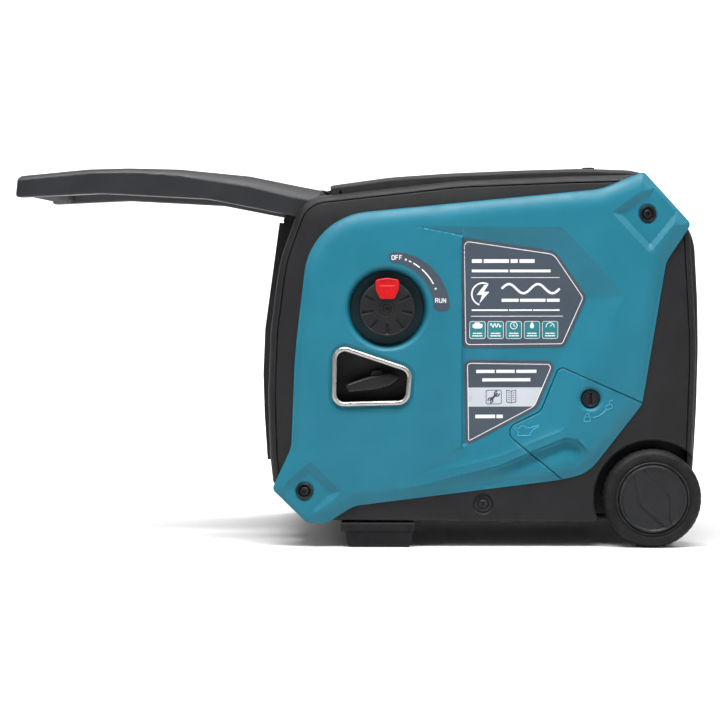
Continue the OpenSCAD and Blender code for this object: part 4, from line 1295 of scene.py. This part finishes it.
def upper_print(prints):
    """Bars for text, a bolt in an arc, and a sine wave."""
    stroke(prints, [(146, 354), (262, 354)], 0.8)
    stroke(prints, [(146, 303.6), (266, 303.6)], 0.8)
    bars(prints, 147, 229, 375.5, 4.8, (2, 5, 1.4, 3))
    bars(prints, 147, 250, 362.6, 3.6, (8, 9))
    film(prints, [(163.5, 344.5), (153.5, 331.5), (160.5, 331.5), (156.8, 320), (170, 335.5),
                  (162.8, 335.5), (168.6, 344.5)], 0.12)
    stroke(prints, arc((161.5, 332.4), 14.5, 62, 252, 22), 2.0)
    stroke(prints, sine(186, 262, 339.5, 6.0, 2), 3.0)
    bars(prints, 186, 262, 324.4, 4.0, (4, 6, 3))
    bars(prints, 147, 262, 311.5, 2.0, (11, 7, 8))


def icon_tiles(prints, tiles):
    """Five tiles, each with two bars: a cloud, a wave, a clock, a drop and a gauge."""
    xs = (154.5, 178.3, 202.1, 225.9, 249.7)
    for x in xs:
        loop = rounded(box(x, 285.6, 10.2, 11.2, 2.4), 30)
        film(tiles, loop, 0.12)
        stroke(prints, loop, 0.6, 0.2, closed=True)
        bars(prints, x - 6, x + 6, 281.2, 1.5, (3, 4))
        bars(prints, x - 6.6, x + 6.6, 278, 1.5, (2, 3, 3))
    cloud, wave, clock, drop, gauge = xs
    z, lift = 290.6, 0.25
    film(prints, [(cloud + u, z + v) for u, v in (
        (-6.5, -1.5), (-6.5, 2), (-4, 3.2), (-3, 5), (2.5, 5), (3.5, 3.2), (6.5, 2.6), (6.5, -1),
        (4, -3), (-3.5, -3))], lift)
    stroke(prints, sine(wave - 7, wave + 7, z + 1, 2.2, 3), 1.1, lift)
    stroke(prints, circle((clock, z + 0.8), 4.4, 24), 0.9, lift, closed=True)
    stroke(prints, [(clock, z + 3.6), (clock, z + 0.6), (clock + 2.2, z - 0.6)], 0.9, lift)
    film(prints, [(drop + u, z + v) for u, v in (
        (0, 6), (2.6, 1.2), (2.7, -1), (1.2, -2.8), (-1.2, -2.8), (-2.7, -1), (-2.6, 1.2))], lift)
    stroke(prints, arc((gauge, z - 0.6), 5.2, -10, 190, 18), 0.9, lift)
    stroke(prints, [(gauge, z - 0.6), (gauge + 3, z + 2.4)], 0.9, lift)


def lower_print(prints, plates, bands):
    """Bars, and a silver band that carries a spanner and a booklet."""
    bars(prints, 153, 232, 231.5, 4.2, (4, 4, 4.4))
    bars(prints, 161, 224, 220.5, 4.2, (10,))
    bars(prints, 152, 188, 172.6, 4.6, (5, 1.6))
    inner = rounded(inset(LABEL_B, 4.6), 12)
    relief(bands, [inner, rect(100, 300, 185.5, 210.5)],
           lambda P: inside(inner, P) & (P[:, 1] > 185.5) & (P[:, 1] < 210.5), label_surf(0.1),
           (0, -1, 0), None, fine=3.5, tol=0.08, rim=(), edge_step=3)
    x, z, lift = 176, 198, 0.25
    stroke(plates, rounded(box(x, z, 10, 9, 2), 30), 0.9, lift, closed=True)
    stroke(plates, [(x - 5, z - 5), (x - 1, z - 1), (x + 5, z + 5)], 2.6, lift)
    stroke(plates, arc((x + 4.2, z + 4.2), 3.2, 80, 370, 16), 1.6, lift)
    stroke(plates, arc((x - 4.2, z - 4.2), 3.2, -100, 190, 16), 1.6, lift)
    stroke(plates, [(199, 205.5), (193, 207), (193, 191.5), (199, 190), (199, 205.5), (205, 207),
                    (205, 191.5), (199, 190)], 0.9, lift)
    for z in (203, 200, 197, 194):
        stroke(plates, [(194.8, z + 0.8), (197.6, z)], 0.7, lift)
        stroke(plates, [(200.4, z), (203.2, z + 0.8)], 0.7, lift)


def labels():
    plates, prints, tiles, bands = Soup(), Soup(), Soup(), Soup()
    for loop in (rounded(LABEL_A, 12), rounded(LABEL_B, 12), scale_outline()):
        film(plates, loop, skirt_on=True)
    for pts in (LABEL_A, LABEL_B):
        stroke(prints, rounded(inset(pts, 4.6), 12), 0.9, closed=True)
    dial_print(prints)
    upper_print(prints)
    icon_tiles(prints, tiles)
    lower_print(prints, plates, bands)
    piece(plates, "label_plates", "label", "chassis", "label", "side_labels")
    piece(prints, "label_print", "print", "chassis", "label")
    piece(tiles, "label_tiles", "icon", "chassis", "label")
    piece(bands, "label_band", "silver", "chassis", "label")


labels()

# --- marks on the control panel
PANEL_FACE = np.array([(110, -122.5), (172, -126.5), (225, -128), (285, -125.5), (427, -106)])
PANEL_DIP = 8.1


def panel_line(soup, pts, width=1.3, closed=False):
    """A printed line on the recessed face; pts are (y, z)."""
    path = resample(np.asarray(pts, float), 4, closed)
    x = np.interp(path[:, 1], PANEL_FACE[:, 0], PANEL_FACE[:, 1]) + PANEL_DIP
    sweep(soup, np.stack([x, path[:, 0], path[:, 1]], 1), width, 0.25, (-1, 0, 0.13), closed)


def panel_box(soup, y, z, half_y, half_z):
    panel_line(soup, rounded(box(y, z, half_y, half_z, 5), 20), closed=True)


def panel_print():
    """Frames round the display and the sockets, rings round the buttons, and generic signs."""
    soup = Soup()
    panel_box(soup, 0, 380, 52, 29)
    panel_box(soup, 0, 318, 42, 18)
    for at in ((-90, 380), (90, 380), (90, 335)):
        panel_line(soup, circle(at, 13, 30), closed=True)
    for y in (-75, 5):
        panel_box(soup, y, 212, 36, 40)
        panel_line(soup, sine(y - 12, y + 12, 263, 4, 1), 1.8)
    for y in (65, 95):
        panel_line(soup, circle((y, 150), 10, 24), closed=True)
    panel_line(soup, arc((-90, 404), 5, 120, 420, 14), 1.5)
    panel_line(soup, [(-90, 404), (-90, 411)], 1.5)
    panel_line(soup, [(85, 399), (88, 408), (96, 410), (95, 402), (85, 399), (91, 405)])
    panel_line(soup, arc((113, 335), 5, 60, 330, 14), 1.5)
    for half, z in ((7, 134), (4.5, 130), (2, 126)):
        panel_line(soup, [(-110 - half, z), (-110 + half, z)])
    piece(soup, "panel_print", "print", "chassis", "label")


panel_print()
